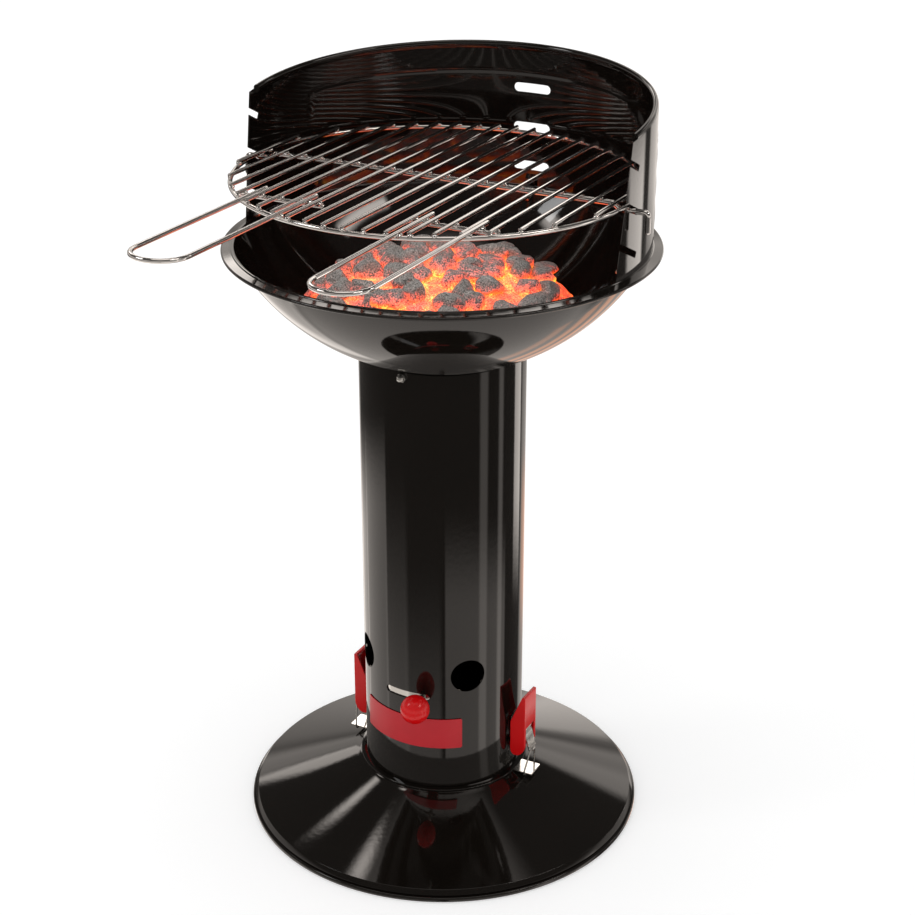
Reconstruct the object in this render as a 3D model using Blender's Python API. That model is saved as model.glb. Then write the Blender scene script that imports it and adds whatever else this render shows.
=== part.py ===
"""Round charcoal grill on a column: foot, column with an air damper, bowl, windscreen and a cooking grid on wires.

Metres, +Z up. The column's axis is the Z axis, the floor is z = 0, and the front with knob and label is -Y.
Azimuths are degrees from the front towards +X.
"""
import math

import bmesh
import bpy
from mathutils import Matrix, Vector

# Clearances
GAP = 0.0003
PIN_GAP = 0.0003
HOLE_GAP = 0.0003

# Roundness
TURN_STEPS = 56
SMALL_STEPS = 16
WIRE_SIDES = 8

# Foot
FOOT_R = 0.2293
FOOT_EDGE_R = FOOT_R - 0.0062
FOOT_CONE_R = FOOT_R - 0.0064
FOOT_CONE_Z = 0.0122
FOOT_SKIRT_R = FOOT_R - 0.0031
FOOT_SKIRT_Z = 0.0070
FOOT_GROOVE_DEPTH = 0.0012
FOOT_LIP_Z = 0.0040
FOOT_COLLAR_R = 0.0990
FOOT_MOUTH_R = 0.0885
FOOT_TOP_Z = 0.0570
FOOT_WALL = 0.0015

# Water pan with its seat flange and the two catch ears
PAN_R = 0.0870
PAN_FLOOR_R = 0.0800
PAN_WALL = 0.0015
SEAT_R = 0.0985
SEAT_Z = FOOT_TOP_Z + GAP
SEAT_THICK = 0.0017
EAR_OUT_R = 0.1215
EAR_HALF_W = 0.0125
EAR_INSET = 0.0001

# Column
COLUMN_R = 0.0920
COLUMN_WALL = 0.0012
COLUMN_LOW_Z = SEAT_Z + SEAT_THICK + GAP
COLUMN_TOP_Z = 0.5704
VENT_R = 0.0200
VENT_Z = 0.2045
VENT_AZIMUTHS = (45.0, 135.0, 225.0, 315.0)
SLOT_Z = 0.1770
SLOT_HALF_AZ = 17.5
SLOT_HALF_H = 0.0045

# Air damper: sleeve, stud and ball knob
SLEEVE_WALL = 0.0010
SLEEVE_LOW_Z = 0.1330
SLEEVE_TOP_Z = 0.2380
KNOB_AZ = 11.7
KNOB_BALL_R = 0.0165
KNOB_CENTRE_R = 0.1180
KNOB_FLAT_HALF = 0.0160
KNOB_BORE_DEPTH = 0.0100
STUD_R = 0.0025
STUD_NUT_R = 0.0040
STUD_NUT_THICK = 0.0028
STUD_HEAD_R = 0.0042
STUD_HEAD_THICK = 0.0018

# Label plate
LABEL_HALF_AZ = 40.5
LABEL_LOW_Z = 0.1120
LABEL_TOP_Z = 0.1500
LABEL_THICK = 0.0008

# Toggle clips, in the plane of radius and height at azimuth +90
CLIP_HALF_W = 0.0150
HOOD_WALL = 0.0020
HOOD_OUT_R = 0.1130
HOOD_IN_R = 0.0945
HOOD_SIDE = (
    (0.1126, 0.1604), (0.1092, 0.1604), (0.0948, 0.1260), (0.0945, 0.1240), (0.0945, 0.0880), (0.0960, 0.0838),
    (0.0995, 0.0812), (0.1045, 0.0815), (0.1090, 0.0848), (0.1120, 0.0900), (0.1130, 0.0950), (0.1130, 0.1596),
)
HOOD_LOW_Z = 0.0700
HOOD_CAP = 0.0025
NOTCH_HALF_W = 0.0110
NOTCH_TOP_Z = 0.1172
LEVER_PIN_R = 0.0020
LEVER_PIN_X = 0.1030
LEVER_PIN_Z = 0.0900
TONGUE_PIN_R = 0.0016
TONGUE_PIN_X = 0.1090
TONGUE_PIN_Z = 0.1130
TONGUE_HALF_W = 0.0090
TONGUE_THICK = 0.0012
CURL_X = 0.1165
CURL_Z = 0.0865
CURL_WALL = 0.0011
CURL_HALF_W = 0.0032
BAIL_R = 0.0010
BAIL_TOP_HALF = 0.0052
BAIL_LOW_HALF = EAR_HALF_W + GAP + BAIL_R
BAIL_LOW_X = 0.1120
BRACKET_HALF_W = 0.0080
BRACKET_THICK = 0.0015
BRACKET_LOW_Z = 0.0835
BRACKET_TOP_Z = 0.1280
BRACKET_EAR_IN = 0.0060
BRACKET_EAR_OUT = 0.0075
BRACKET_EAR_X = 0.1068
BRACKET_EAR_TOP_Z = 0.0975
RIVET_HEIGHTS = (0.1050, 0.1200)
RIVET_R = 0.0018
RIVET_HEAD_R = 0.0038
RIVET_HEAD_THICK = 0.0018
RIVET_TAIL_THICK = 0.0014

# Windscreen sheet, from which the bowl's edge and the grid take their sizes
SCREEN_R = 0.2232
SCREEN_WALL = 0.0010
BEAD_Z = 0.6900
SCREEN_LOW_Z = BEAD_Z + GAP
SCREEN_BACK_Z = 0.8555
SCREEN_DROP = 0.0200
SCREEN_END_LOW_AZ = 78.5
SCREEN_END_TOP_AZ = 84.6
SCREEN_END_TOP_Z = 0.8320
HEM_IN_R = SCREEN_R - 0.0067
HEM_DEPTH = 0.0090
HEM_END_AZ = 87.3
SCREEN_STEPS = 66
NOTCH_SLOPE = 26.6
NOTCH_HALF_H = 0.0034
NOTCH_LONG = 0.0600
NOTCH_PITCH = 0.0450
BACK_SLOT_Z = 0.7588
BACK_SLOT_HALF_W = 0.0225
BACK_SLOT_HALF_H = 0.0052

# Bowl: a spherical cap with spigot, flange and rolled edge
BOWL_SPHERE_R = 0.251740
BOWL_WALL = 0.0012
BOWL_MOUTH_R = 0.0700
SPIGOT_LOW_Z = 0.5450
BEAD_IN_R = SCREEN_R - 0.0029
BEAD_OUT_R = SCREEN_R + 0.0008
BOWL_EDGE_DROP = 0.0036
BOWL_CENTRE_Z = BEAD_Z - BOWL_EDGE_DROP + math.sqrt((BOWL_SPHERE_R - BOWL_WALL) ** 2 - BEAD_IN_R ** 2)
FLANGE_IN_R = SCREEN_R + 0.0015
FLANGE_IN_Z = BEAD_Z - 0.0011
FLANGE_OUT_R = SCREEN_R + 0.0098
FLANGE_DROP = 0.0010
RIM_OUT_R = SCREEN_R + 0.0115
RIM_THICK = 0.0036
BOWL_SCREW_Z = 0.5650
BOWL_SCREW_R = 0.0028
BOWL_SCREW_AZIMUTHS = (0.0, 120.0, 240.0)
DOME_R = 0.0052
DOME_LONG = 0.0078
BOWL_SCREW_HEAD_R = 0.0036
BOWL_SCREW_HEAD_THICK = 0.0018

# Charcoal grate and charcoal
GRATE_R = 0.1190
GRATE_SEAT = 0.0008
GRATE_THICK = 0.0015
GRATE_HOLE_R = 0.0080
GRATE_HOLE_PITCH = 0.0330
COAL_LOW_R = 0.1120
COAL_R = 0.1460
COAL_EDGE_RISE = 0.0060
COAL_HEAP = 0.0400
LUMP_PITCH = 0.0310
LUMP_HALF_LONG = 0.0200
LUMP_HALF_WIDE = 0.0140
LUMP_RISE = 0.0130

# Fasteners of the windscreen
SIDE_NUT_AZ = 83.0
SIDE_NUT_Z = 0.6953
SIDE_NUT_R = 0.0043
SIDE_NUT_LONG = 0.0090
SIDE_SHANK_R = 0.0020
LUG_OUT_R = SCREEN_R - 0.0014
LUG_IN_R = LUG_OUT_R - 0.0011
LUG_HALF_W = 0.0060
LUG_TOP_Z = 0.7015
TAIL_BOLT_Z = BEAD_Z - 0.0130
TAIL_HALF_W = 0.0060
TAIL_THICK = 0.0010
TAIL_END_DROP = 0.0090

# Cooking grid, which lies a little higher in front than at the back
ROD_R = 0.00225
ROD_Z = 0.7655
ROD_PITCH = 0.02175
ROD_COUNT = 20
ROD_FRONT_OVER = 0.0020
ROD_REAR_OVER = 0.0020
GRID_TILT = 0.95
GRID_RING_R = SCREEN_R - 0.0080
GRID_RING_Y = -0.0105
RING_WIRE_R = 0.0025
BAR_WIRE_R = 0.0030
BAR_Y = -0.0080
BAR_DIP_IN_X = GRID_RING_R - 0.0162
BAR_DIP_LONG = 0.0070
BAR_HOOK_X = SCREEN_R + 0.0128
BAR_HOOK_Z = 0.7326
SHORT_BAR_Y = -0.1610
SHORT_BAR_IN_X = 0.0475
HANDLE_WIRE_R = 0.0025
HANDLE_IN_X = 0.0660
HANDLE_OUT_X = 0.1250
HANDLE_REAR_Y = -0.1445
HANDLE_FRONT_Y = -0.3980
HANDLE_CORNER_R = 0.0285

# Looks: base colour, metallic, roughness
LOOKS = {
    "black_enamel": ((0.020, 0.018, 0.016, 1.0), 0.0, 0.12),
    "red_plastic": ((0.55, 0.004, 0.004, 1.0), 0.0, 0.25),
    "red_label": ((0.42, 0.02, 0.025, 1.0), 0.0, 0.35),
    "polished_steel": ((0.80, 0.80, 0.80, 1.0), 1.0, 0.12),
    "brushed_steel": ((0.55, 0.55, 0.55, 1.0), 1.0, 0.35),
    "chrome_wire": ((0.82, 0.82, 0.82, 1.0), 1.0, 0.08),
    "grate_steel": ((0.12, 0.12, 0.12, 1.0), 1.0, 0.50),
    "charcoal": ((0.06, 0.055, 0.05, 1.0), 0.0, 0.90),
}


def clear_scene():
    for obj in list(bpy.data.objects):
        bpy.data.objects.remove(obj, do_unlink=True)


def material_of(node, look):
    colour, metallic, roughness = LOOKS[look]
    made = bpy.data.materials.new(node + "." + look)
    made.use_nodes = True
    shader = made.node_tree.nodes["Principled BSDF"]
    shader.inputs["Base Color"].default_value = colour
    shader.inputs["Metallic"].default_value = metallic
    shader.inputs["Roughness"].default_value = roughness
    made.diffuse_color = colour
    return made


def node_from(name, points, faces, look, smooth=35.0, split=False):
    """An object of these points and faces, facing outwards. A look of None makes a hidden cutter.

    split cuts faces that aren't flat into triangles, as a Boolean needs.
    """
    mesh = bpy.data.meshes.new(name)
    work = bmesh.new()
    corners = [work.verts.new(point) for point in points]
    for face in faces:
        work.faces.new([corners[index] for index in face])
    bmesh.ops.recalc_face_normals(work, faces=work.faces)
    if work.calc_volume(signed=True) < 0:
        bmesh.ops.reverse_faces(work, faces=work.faces)
    if split:
        bmesh.ops.triangulate(work, faces=work.faces)
    work.to_mesh(mesh)
    work.free()
    obj = bpy.data.objects.new(name, mesh)
    bpy.context.scene.collection.objects.link(obj)
    if look is None:
        obj.hide_render = True
        obj.display_type = "WIRE"
        return obj
    mesh.materials.append(material_of(name, look))
    mesh.shade_smooth()
    mesh.set_sharp_from_angle(angle=math.radians(smooth))
    return obj


def turned(profile, steps=TURN_STEPS, matrix=None):
    """Points and faces of a profile of (radius, height) turned about Z. It is closed on itself, or by the axis."""
    points = []
    rows = []
    for radius, height in profile:
        if radius == 0:
            rows.append([len(points)] * steps)
            points.append(Vector((0, 0, height)))
            continue
        rows.append(list(range(len(points), len(points) + steps)))
        for step in range(steps):
            angle = math.tau * (step + 0.5) / steps
            points.append(Vector((radius * math.cos(angle), radius * math.sin(angle), height)))
    pairs = list(zip(rows, rows[1:]))
    if profile[0][0] != 0 or profile[-1][0] != 0:
        pairs.append((rows[-1], rows[0]))
    faces = []
    for low, high in pairs:
        for step in range(steps):
            after = (step + 1) % steps
            face = [low[step], low[after], high[after], high[step]]
            face = [index for place, index in enumerate(face) if index not in face[:place]]
            if len(face) > 2:
                faces.append(face)
    if matrix is not None:
        points = [matrix @ point for point in points]
    return points, faces


def extruded(outline, low, high, place):
    """A prism: outline of (a, b) between the levels low and high. place(a, b, level) gives the point."""
    count = len(outline)
    points = [place(a, b, low) for a, b in outline] + [place(a, b, high) for a, b in outline]
    faces = [list(range(count)), list(range(2 * count - 1, count - 1, -1))]
    for index in range(count):
        after = (index + 1) % count
        faces.append([index, after, count + after, count + index])
    return points, faces


def wire(path, radius, sides=WIRE_SIDES, closed=False):
    """A round wire along a path of points. The cross-section is carried along without twist."""
    path = [Vector(point) for point in path]
    count = len(path)
    points = []
    rows = []
    across = None
    for index, here in enumerate(path):
        before = path[index - 1] if index or closed else here
        after = path[(index + 1) % count] if index + 1 < count or closed else here
        incoming = (here - before).normalized() if here != before else (after - here).normalized()
        outgoing = (after - here).normalized() if here != after else incoming
        along = (incoming + outgoing).normalized()
        if across is None:
            across = along.orthogonal().normalized()
        across = (across - along * across.dot(along)).normalized()
        other = along.cross(across)
        widen = 1.0 / max(0.5, along.dot(outgoing))
        bend = outgoing - incoming
        bend = bend.normalized() if bend.length > 1e-6 else None
        rows.append(list(range(len(points), len(points) + sides)))
        for side in range(sides):
            angle = math.tau * (side + 0.5) / sides
            offset = (across * math.cos(angle) + other * math.sin(angle)) * radius
            if bend is not None:
                offset += bend * offset.dot(bend) * (widen - 1.0)
            points.append(here + offset)
    faces = []
    pairs = list(zip(rows, rows[1:]))
    if closed:
        first = Vector(points[rows[0][0]])
        nearest = min(range(sides), key=lambda side: (points[rows[-1][side]] - first).length)
        pairs.append((rows[-1][nearest:] + rows[-1][:nearest], rows[0]))
    else:
        faces.append(list(reversed(rows[0])))
        faces.append(rows[-1])
    for low, high in pairs:
        for side in range(sides):
            after = (side + 1) % sides
            faces.append([low[side], low[after], high[after], high[side]])
    return points, faces


def rounded_path(corners, radius, steps=4, closed=False):
    """The path through these corners, each replaced by an arc of this radius."""
    corners = [Vector(corner) for corner in corners]
    count = len(corners)
    path = []
    for index, here in enumerate(corners):
        if not closed and index in (0, count - 1):
            path.append(here)
            continue
        back = (corners[index - 1] - here).normalized()
        ahead = (corners[(index + 1) % count] - here).normalized()
        half = back.angle(ahead) / 2
        reach = radius / math.tan(half)
        centre = here + (back + ahead).normalized() * (radius / math.sin(half))
        start = here + back * reach - centre
        end = here + ahead * reach - centre
        span = start.angle(end)
        for step in range(steps + 1):
            part = step / steps
            spot = (start * math.sin((1 - part) * span) + end * math.sin(part * span)) / math.sin(span)
            path.append(centre + spot)
    return path


def at_azimuth(azimuth, height, tilt=0.0):
    """The frame whose +Z points out from the axis at this azimuth and height, dipped by tilt degrees."""
    turn = Matrix.Rotation(math.radians(azimuth - 90), 4, "Z")
    return Matrix.Translation((0, 0, height)) @ turn @ Matrix.Rotation(math.radians(90 + tilt), 4, "Y")


def polar(radius, azimuth, height):
    angle = math.radians(azimuth)
    return Vector((radius * math.sin(angle), -radius * math.cos(angle), height))


def cut(obj, cutters):
    for cutter in cutters:
        combine(obj, cutter, "DIFFERENCE")


def join(obj, others):
    for other in others:
        combine(obj, other, "UNION")


def combine(obj, other, operation):
    step = obj.modifiers.new(operation.title() + "_" + other.name, "BOOLEAN")
    step.operation = operation
    step.solver = "EXACT"
    step.object = other


def hole_cutter(name, azimuth, height, radius, near, far, steps=SMALL_STEPS, tilt=0.0):
    profile = [(0, near), (radius, near), (radius, far), (0, far)]
    return node_from(name, *turned(profile, steps, at_azimuth(azimuth, height, tilt)), None)


def sphere_r(height, radius=BOWL_SPHERE_R):
    return math.sqrt(radius ** 2 - (BOWL_CENTRE_Z - height) ** 2)


def sphere_z(radial, radius=BOWL_SPHERE_R):
    return BOWL_CENTRE_Z - math.sqrt(radius ** 2 - radial ** 2)


def build_foot():
    slope = (FOOT_TOP_Z - FOOT_CONE_Z) / (FOOT_CONE_R - FOOT_COLLAR_R)
    under = FOOT_WALL * math.sqrt(1 + slope ** 2)
    profile = [
        (FOOT_MOUTH_R, FOOT_TOP_Z),
        (FOOT_COLLAR_R - 0.0015, FOOT_TOP_Z),
        (FOOT_COLLAR_R, FOOT_TOP_Z - 0.0006),
        (FOOT_CONE_R, FOOT_CONE_Z),
        (FOOT_SKIRT_R, FOOT_SKIRT_Z),
        (FOOT_SKIRT_R - FOOT_GROOVE_DEPTH, FOOT_SKIRT_Z - 0.0008),
        (FOOT_R - 0.0018, FOOT_LIP_Z + 0.0012),
        (FOOT_R, FOOT_LIP_Z),
        (FOOT_R, 0.0008),
        (FOOT_R - 0.0008, 0),
        (FOOT_EDGE_R + 0.0008, 0),
        (FOOT_EDGE_R, 0.0008),
        (FOOT_EDGE_R, FOOT_SKIRT_Z + 0.0010),
        (FOOT_CONE_R - 0.0010, FOOT_CONE_Z + 0.0010 * slope - under),
        (FOOT_COLLAR_R, FOOT_TOP_Z - 0.0006 - under),
        (FOOT_MOUTH_R, FOOT_TOP_Z - 0.0006 - under),
    ]
    node_from("foot", *turned(profile), "black_enamel")


def build_water_pan():
    top = SEAT_Z + SEAT_THICK
    profile = [
        (0, 0),
        (PAN_FLOOR_R, 0),
        (PAN_FLOOR_R + 0.0030, 0.0030),
        (PAN_R, SEAT_Z),
        (SEAT_R, SEAT_Z),
        (SEAT_R, top),
        (PAN_R - PAN_WALL, top),
        (PAN_FLOOR_R + 0.0030 - PAN_WALL, 0.0040),
        (PAN_FLOOR_R - PAN_WALL, PAN_WALL),
        (0, PAN_WALL),
    ]
    pan = node_from("water_pan", *turned(profile), "polished_steel")
    ears = []
    corner = 0.0012
    for side, sign in (("right", 1), ("left", -1)):
        outline = [
            (SEAT_R - 0.0040, -EAR_HALF_W),
            (EAR_OUT_R - corner, -EAR_HALF_W),
            (EAR_OUT_R, -EAR_HALF_W + corner),
            (EAR_OUT_R, EAR_HALF_W - corner),
            (EAR_OUT_R - corner, EAR_HALF_W),
            (SEAT_R - 0.0040, EAR_HALF_W),
        ]
        shape = extruded(
            outline, SEAT_Z + EAR_INSET, top - EAR_INSET, lambda a, b, level, sign=sign: Vector((sign * a, b, level))
        )
        ears.append(node_from("pan_ear_" + side, *shape, None))
    join(pan, ears)


def slot_outline():
    """The damper's slot seen from the front: (x, height)."""
    middle = COLUMN_R * math.sin(math.radians(SLOT_HALF_AZ)) - SLOT_HALF_H
    outline = []
    for sign in (1, -1):
        for step in range(7):
            angle = math.pi * (step / 6 - 0.5)
            across = middle + SLOT_HALF_H * math.cos(angle)
            outline.append((sign * across, SLOT_Z + sign * SLOT_HALF_H * math.sin(angle)))
    return outline


def build_column():
    inner = COLUMN_R - COLUMN_WALL
    profile = [
        (inner, COLUMN_LOW_Z),
        (COLUMN_R, COLUMN_LOW_Z),
        (COLUMN_R, COLUMN_TOP_Z),
        (inner, COLUMN_TOP_Z),
    ]
    column = node_from("column", *turned(profile), "black_enamel")
    near, far = inner - 0.004, COLUMN_R + 0.004
    for azimuth in VENT_AZIMUTHS:
        cut(column, [hole_cutter(f"column_vent_{azimuth:.0f}", azimuth, VENT_Z, VENT_R, near, far, 32)])
    slot = extruded(slot_outline(), -COLUMN_R - 0.004, -COLUMN_R * 0.8, lambda a, b, level: Vector((a, level, b)))
    cut(column, [node_from("column_slot", *slot, None)])
    for azimuth in BOWL_SCREW_AZIMUTHS:
        name = f"column_screw_hole_{azimuth:.0f}"
        cut(column, [hole_cutter(name, azimuth, BOWL_SCREW_Z, BOWL_SCREW_R + HOLE_GAP, near, far)])
    for side, azimuth in (("right", 90), ("left", -90)):
        for number, height in enumerate(RIVET_HEIGHTS):
            name = f"column_rivet_hole_{side}_{number}"
            cut(column, [hole_cutter(name, azimuth, height, RIVET_R + HOLE_GAP, near, far, 12)])


def build_damper():
    outer = COLUMN_R - COLUMN_WALL - GAP
    inner = outer - SLEEVE_WALL
    profile = [(inner, SLEEVE_LOW_Z), (outer, SLEEVE_LOW_Z), (outer, SLEEVE_TOP_Z), (inner, SLEEVE_TOP_Z)]
    sleeve = node_from("damper_sleeve", *turned(profile), "polished_steel")
    near, far = inner - 0.004, outer + 0.004
    for azimuth in VENT_AZIMUTHS:
        cut(sleeve, [hole_cutter(f"sleeve_vent_{azimuth:.0f}", azimuth, VENT_Z, VENT_R, near, far, 32)])
    cut(sleeve, [hole_cutter("sleeve_stud_hole", KNOB_AZ, SLOT_Z, STUD_R + HOLE_GAP, near, far)])
    head = inner - GAP - 0.0002
    nut = COLUMN_R + GAP + 0.0003
    flat = KNOB_CENTRE_R - KNOB_FLAT_HALF
    tip = flat + KNOB_BORE_DEPTH - PIN_GAP
    stud = [
        (0, head - STUD_HEAD_THICK),
        (STUD_HEAD_R, head - STUD_HEAD_THICK),
        (STUD_HEAD_R, head),
        (STUD_R, head),
        (STUD_R, nut),
        (STUD_NUT_R, nut),
        (STUD_NUT_R, nut + STUD_NUT_THICK),
        (STUD_R, nut + STUD_NUT_THICK),
        (STUD_R, tip),
        (0, tip),
    ]
    frame = at_azimuth(KNOB_AZ, SLOT_Z)
    node_from("damper_stud", *turned(stud, SMALL_STEPS, frame), "brushed_steel")
    bore = STUD_R + PIN_GAP
    ball = [(0, flat + KNOB_BORE_DEPTH), (bore, flat + KNOB_BORE_DEPTH), (bore, flat)]
    start = math.acos(KNOB_FLAT_HALF / KNOB_BALL_R)
    rings = 9
    for ring in range(rings):
        angle = start + (math.pi - start) * ring / rings
        ball.append((KNOB_BALL_R * math.sin(angle), KNOB_CENTRE_R - KNOB_BALL_R * math.cos(angle)))
    ball.append((0, KNOB_CENTRE_R + KNOB_BALL_R))
    node_from("ball_knob", *turned(ball, 22, frame), "red_plastic")


def build_label():
    inner = COLUMN_R + GAP
    steps = 16
    corner = 0.0020
    turn = math.degrees(corner / COLUMN_R)
    edge = LABEL_HALF_AZ
    outline = [(-edge + turn + (2 * (edge - turn)) * step / steps, LABEL_LOW_Z) for step in range(steps + 1)]
    outline += [(edge, LABEL_LOW_Z + corner), (edge, LABEL_TOP_Z - corner)]
    outline += [(edge - turn - (2 * (edge - turn)) * step / steps, LABEL_TOP_Z) for step in range(steps + 1)]
    outline += [(-edge, LABEL_TOP_Z - corner), (-edge, LABEL_LOW_Z + corner)]
    count = len(outline)
    points = [polar(inner, azimuth, height) for azimuth, height in outline]
    points += [polar(inner + LABEL_THICK, azimuth, height) for azimuth, height in outline]
    faces = []
    for index in range(count):
        after = (index + 1) % count
        faces.append([index, after, count + after, count + index])
    low = list(range(steps + 1))
    high = [2 * steps + 3 - index for index in low]
    for first in (0, count):
        for index in range(steps):
            faces.append([first + low[index], first + low[index + 1], first + high[index + 1], first + high[index]])
        faces.append([first + steps, first + steps + 1, first + steps + 2, first + steps + 3])
        faces.append([first + 2 * steps + 3, first + 2 * steps + 4, first + 2 * steps + 5, first])
    node_from("label_plate", points, faces, "red_label")


def upright(a, b, level):
    return Vector((a, b, level))


def round_hole(centre, radius, steps=SMALL_STEPS):
    angles = [math.tau * (step + 0.5) / steps for step in range(steps)]
    return [(centre[0] + radius * math.cos(angle), centre[1] + radius * math.sin(angle)) for angle in angles]


def build_clip(side, sign):
    """One toggle clip. Outlines are in (radius, height), levels run along Y."""

    def place(a, b, level):
        return Vector((sign * a, level, b))

    lever_pin = (LEVER_PIN_X, LEVER_PIN_Z)
    tongue_pin = (TONGUE_PIN_X, TONGUE_PIN_Z)
    hood = node_from(
        "clip_hood_" + side, *extruded(HOOD_SIDE, -CLIP_HALF_W, CLIP_HALF_W, place), "red_plastic", 28.0
    )
    room = CLIP_HALF_W - HOOD_WALL
    hollow = [
        (HOOD_OUT_R - HOOD_WALL, HOOD_SIDE[0][1] - HOOD_CAP),
        (HOOD_IN_R - 0.0200, HOOD_SIDE[0][1] - HOOD_CAP),
        (HOOD_IN_R - 0.0200, HOOD_LOW_Z),
        (HOOD_OUT_R - HOOD_WALL, HOOD_LOW_Z),
    ]
    cut(hood, [node_from("hood_hollow_" + side, *extruded(hollow, -room, room, place), None)])
    corner = 0.0010
    opening = [
        (-NOTCH_HALF_W, HOOD_LOW_Z),
        (NOTCH_HALF_W, HOOD_LOW_Z),
        (NOTCH_HALF_W, NOTCH_TOP_Z - corner),
        (NOTCH_HALF_W - corner, NOTCH_TOP_Z),
        (-NOTCH_HALF_W + corner, NOTCH_TOP_Z),
        (-NOTCH_HALF_W, NOTCH_TOP_Z - corner),
    ]
    notch = extruded(
        opening, HOOD_OUT_R - 0.0060, HOOD_OUT_R + 0.0030, lambda a, b, level: Vector((sign * level, a, b))
    )
    cut(hood, [node_from("hood_notch_" + side, *notch, None)])
    reach = CLIP_HALF_W + 0.002
    lever_hole = extruded(round_hole(lever_pin, LEVER_PIN_R + HOLE_GAP), -reach, reach, place)
    tongue_hole = extruded(round_hole(tongue_pin, TONGUE_PIN_R + HOLE_GAP), -reach, reach, place)
    lever_cutter = node_from("hood_pin_hole_" + side, *lever_hole, None)
    cut(hood, [lever_cutter, node_from("hood_tongue_hole_" + side, *tongue_hole, None)])

    pin_half = CLIP_HALF_W - 0.0002
    pin = extruded(round_hole(lever_pin, LEVER_PIN_R), -pin_half, pin_half, place)
    node_from("clip_pin_" + side, *pin, "brushed_steel")

    base_in = COLUMN_R + GAP
    base_out = base_in + BRACKET_THICK
    plate = [(base_in, BRACKET_LOW_Z), (base_out, BRACKET_LOW_Z), (base_out, BRACKET_TOP_Z), (base_in, BRACKET_TOP_Z)]
    bracket = node_from(
        "clip_bracket_" + side, *extruded(plate, -BRACKET_HALF_W, BRACKET_HALF_W, place), "brushed_steel"
    )
    cheek = [
        (base_in + 0.0004, BRACKET_LOW_Z + 0.0006),
        (BRACKET_EAR_X - 0.0030, BRACKET_LOW_Z + 0.0006),
        (BRACKET_EAR_X, LEVER_PIN_Z - 0.0025),
        (BRACKET_EAR_X, LEVER_PIN_Z + 0.0030),
        (BRACKET_EAR_X - 0.0030, BRACKET_EAR_TOP_Z),
        (base_in + 0.0004, BRACKET_EAR_TOP_Z + 0.0040),
    ]
    for number, (low, high) in enumerate(
        ((BRACKET_EAR_IN, BRACKET_EAR_OUT), (-BRACKET_EAR_OUT, -BRACKET_EAR_IN))
    ):
        join(bracket, [node_from(f"bracket_cheek_{side}_{number}", *extruded(cheek, low, high, place), None)])
    cut(bracket, [lever_cutter])
    azimuth = 90 * sign
    for number, height in enumerate(RIVET_HEIGHTS):
        name = f"bracket_rivet_hole_{side}_{number}"
        near, far = COLUMN_R - 0.0060, base_out + 0.0030
        cut(bracket, [hole_cutter(name, azimuth, height, RIVET_R + HOLE_GAP, near, far, 12)])
        tail = COLUMN_R - COLUMN_WALL - GAP
        head = base_out + GAP
        rivet = [
            (0, tail - RIVET_TAIL_THICK),
            (RIVET_HEAD_R - 0.0010, tail - RIVET_TAIL_THICK),
            (RIVET_HEAD_R - 0.0006, tail - GAP),
            (RIVET_R, tail - GAP),
            (RIVET_R, head),
            (RIVET_HEAD_R, head),
            (RIVET_HEAD_R - 0.0008, head + RIVET_HEAD_THICK * 0.65),
            (0, head + RIVET_HEAD_THICK),
        ]
        node_from(f"clip_rivet_{side}_{number}", *turned(rivet, 12, at_azimuth(azimuth, height)), "brushed_steel")

    ahead = Vector((CURL_X - TONGUE_PIN_X, CURL_Z - TONGUE_PIN_Z)).normalized()
    across = Vector((-ahead.y, ahead.x)) * (TONGUE_THICK / 2)
    top = Vector(tongue_pin)
    curl_out = BAIL_R + PIN_GAP + CURL_WALL
    end = Vector((CURL_X, CURL_Z)) - ahead * (BAIL_R + PIN_GAP + CURL_WALL * 0.4)
    strip = [top + across, top - across, end - across, end + across]
    tongue = node_from(
        "clip_tongue_" + side, *extruded(strip, -TONGUE_HALF_W, TONGUE_HALF_W, place), "brushed_steel"
    )
    trunnion = extruded(round_hole(tongue_pin, TONGUE_PIN_R), -pin_half, pin_half, place)
    join(tongue, [node_from("tongue_trunnion_" + side, *trunnion, None)])
    curl = extruded(round_hole((CURL_X, CURL_Z), curl_out), -CURL_HALF_W, CURL_HALF_W, place)
    join(tongue, [node_from("tongue_curl_" + side, *curl, None)])
    eye = extruded(round_hole((CURL_X, CURL_Z), BAIL_R + PIN_GAP), -0.0080, 0.0080, place)
    cut(tongue, [node_from("tongue_eye_" + side, *eye, None)])

    low_z = SEAT_Z - GAP - BAIL_R
    part = 0.82
    knee_x = CURL_X + (BAIL_LOW_X - CURL_X) * part
    knee_z = CURL_Z + (low_z - CURL_Z) * part
    corners = [
        (sign * CURL_X, -BAIL_TOP_HALF, CURL_Z),
        (sign * knee_x, -BAIL_LOW_HALF, knee_z),
        (sign * BAIL_LOW_X, -BAIL_LOW_HALF, low_z),
        (sign * BAIL_LOW_X, BAIL_LOW_HALF, low_z),
        (sign * knee_x, BAIL_LOW_HALF, knee_z),
        (sign * CURL_X, BAIL_TOP_HALF, CURL_Z),
    ]
    node_from(
        "clip_bail_" + side, *wire(rounded_path(corners, 0.0013, 3, True), BAIL_R, 6, True), "brushed_steel"
    )


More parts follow.
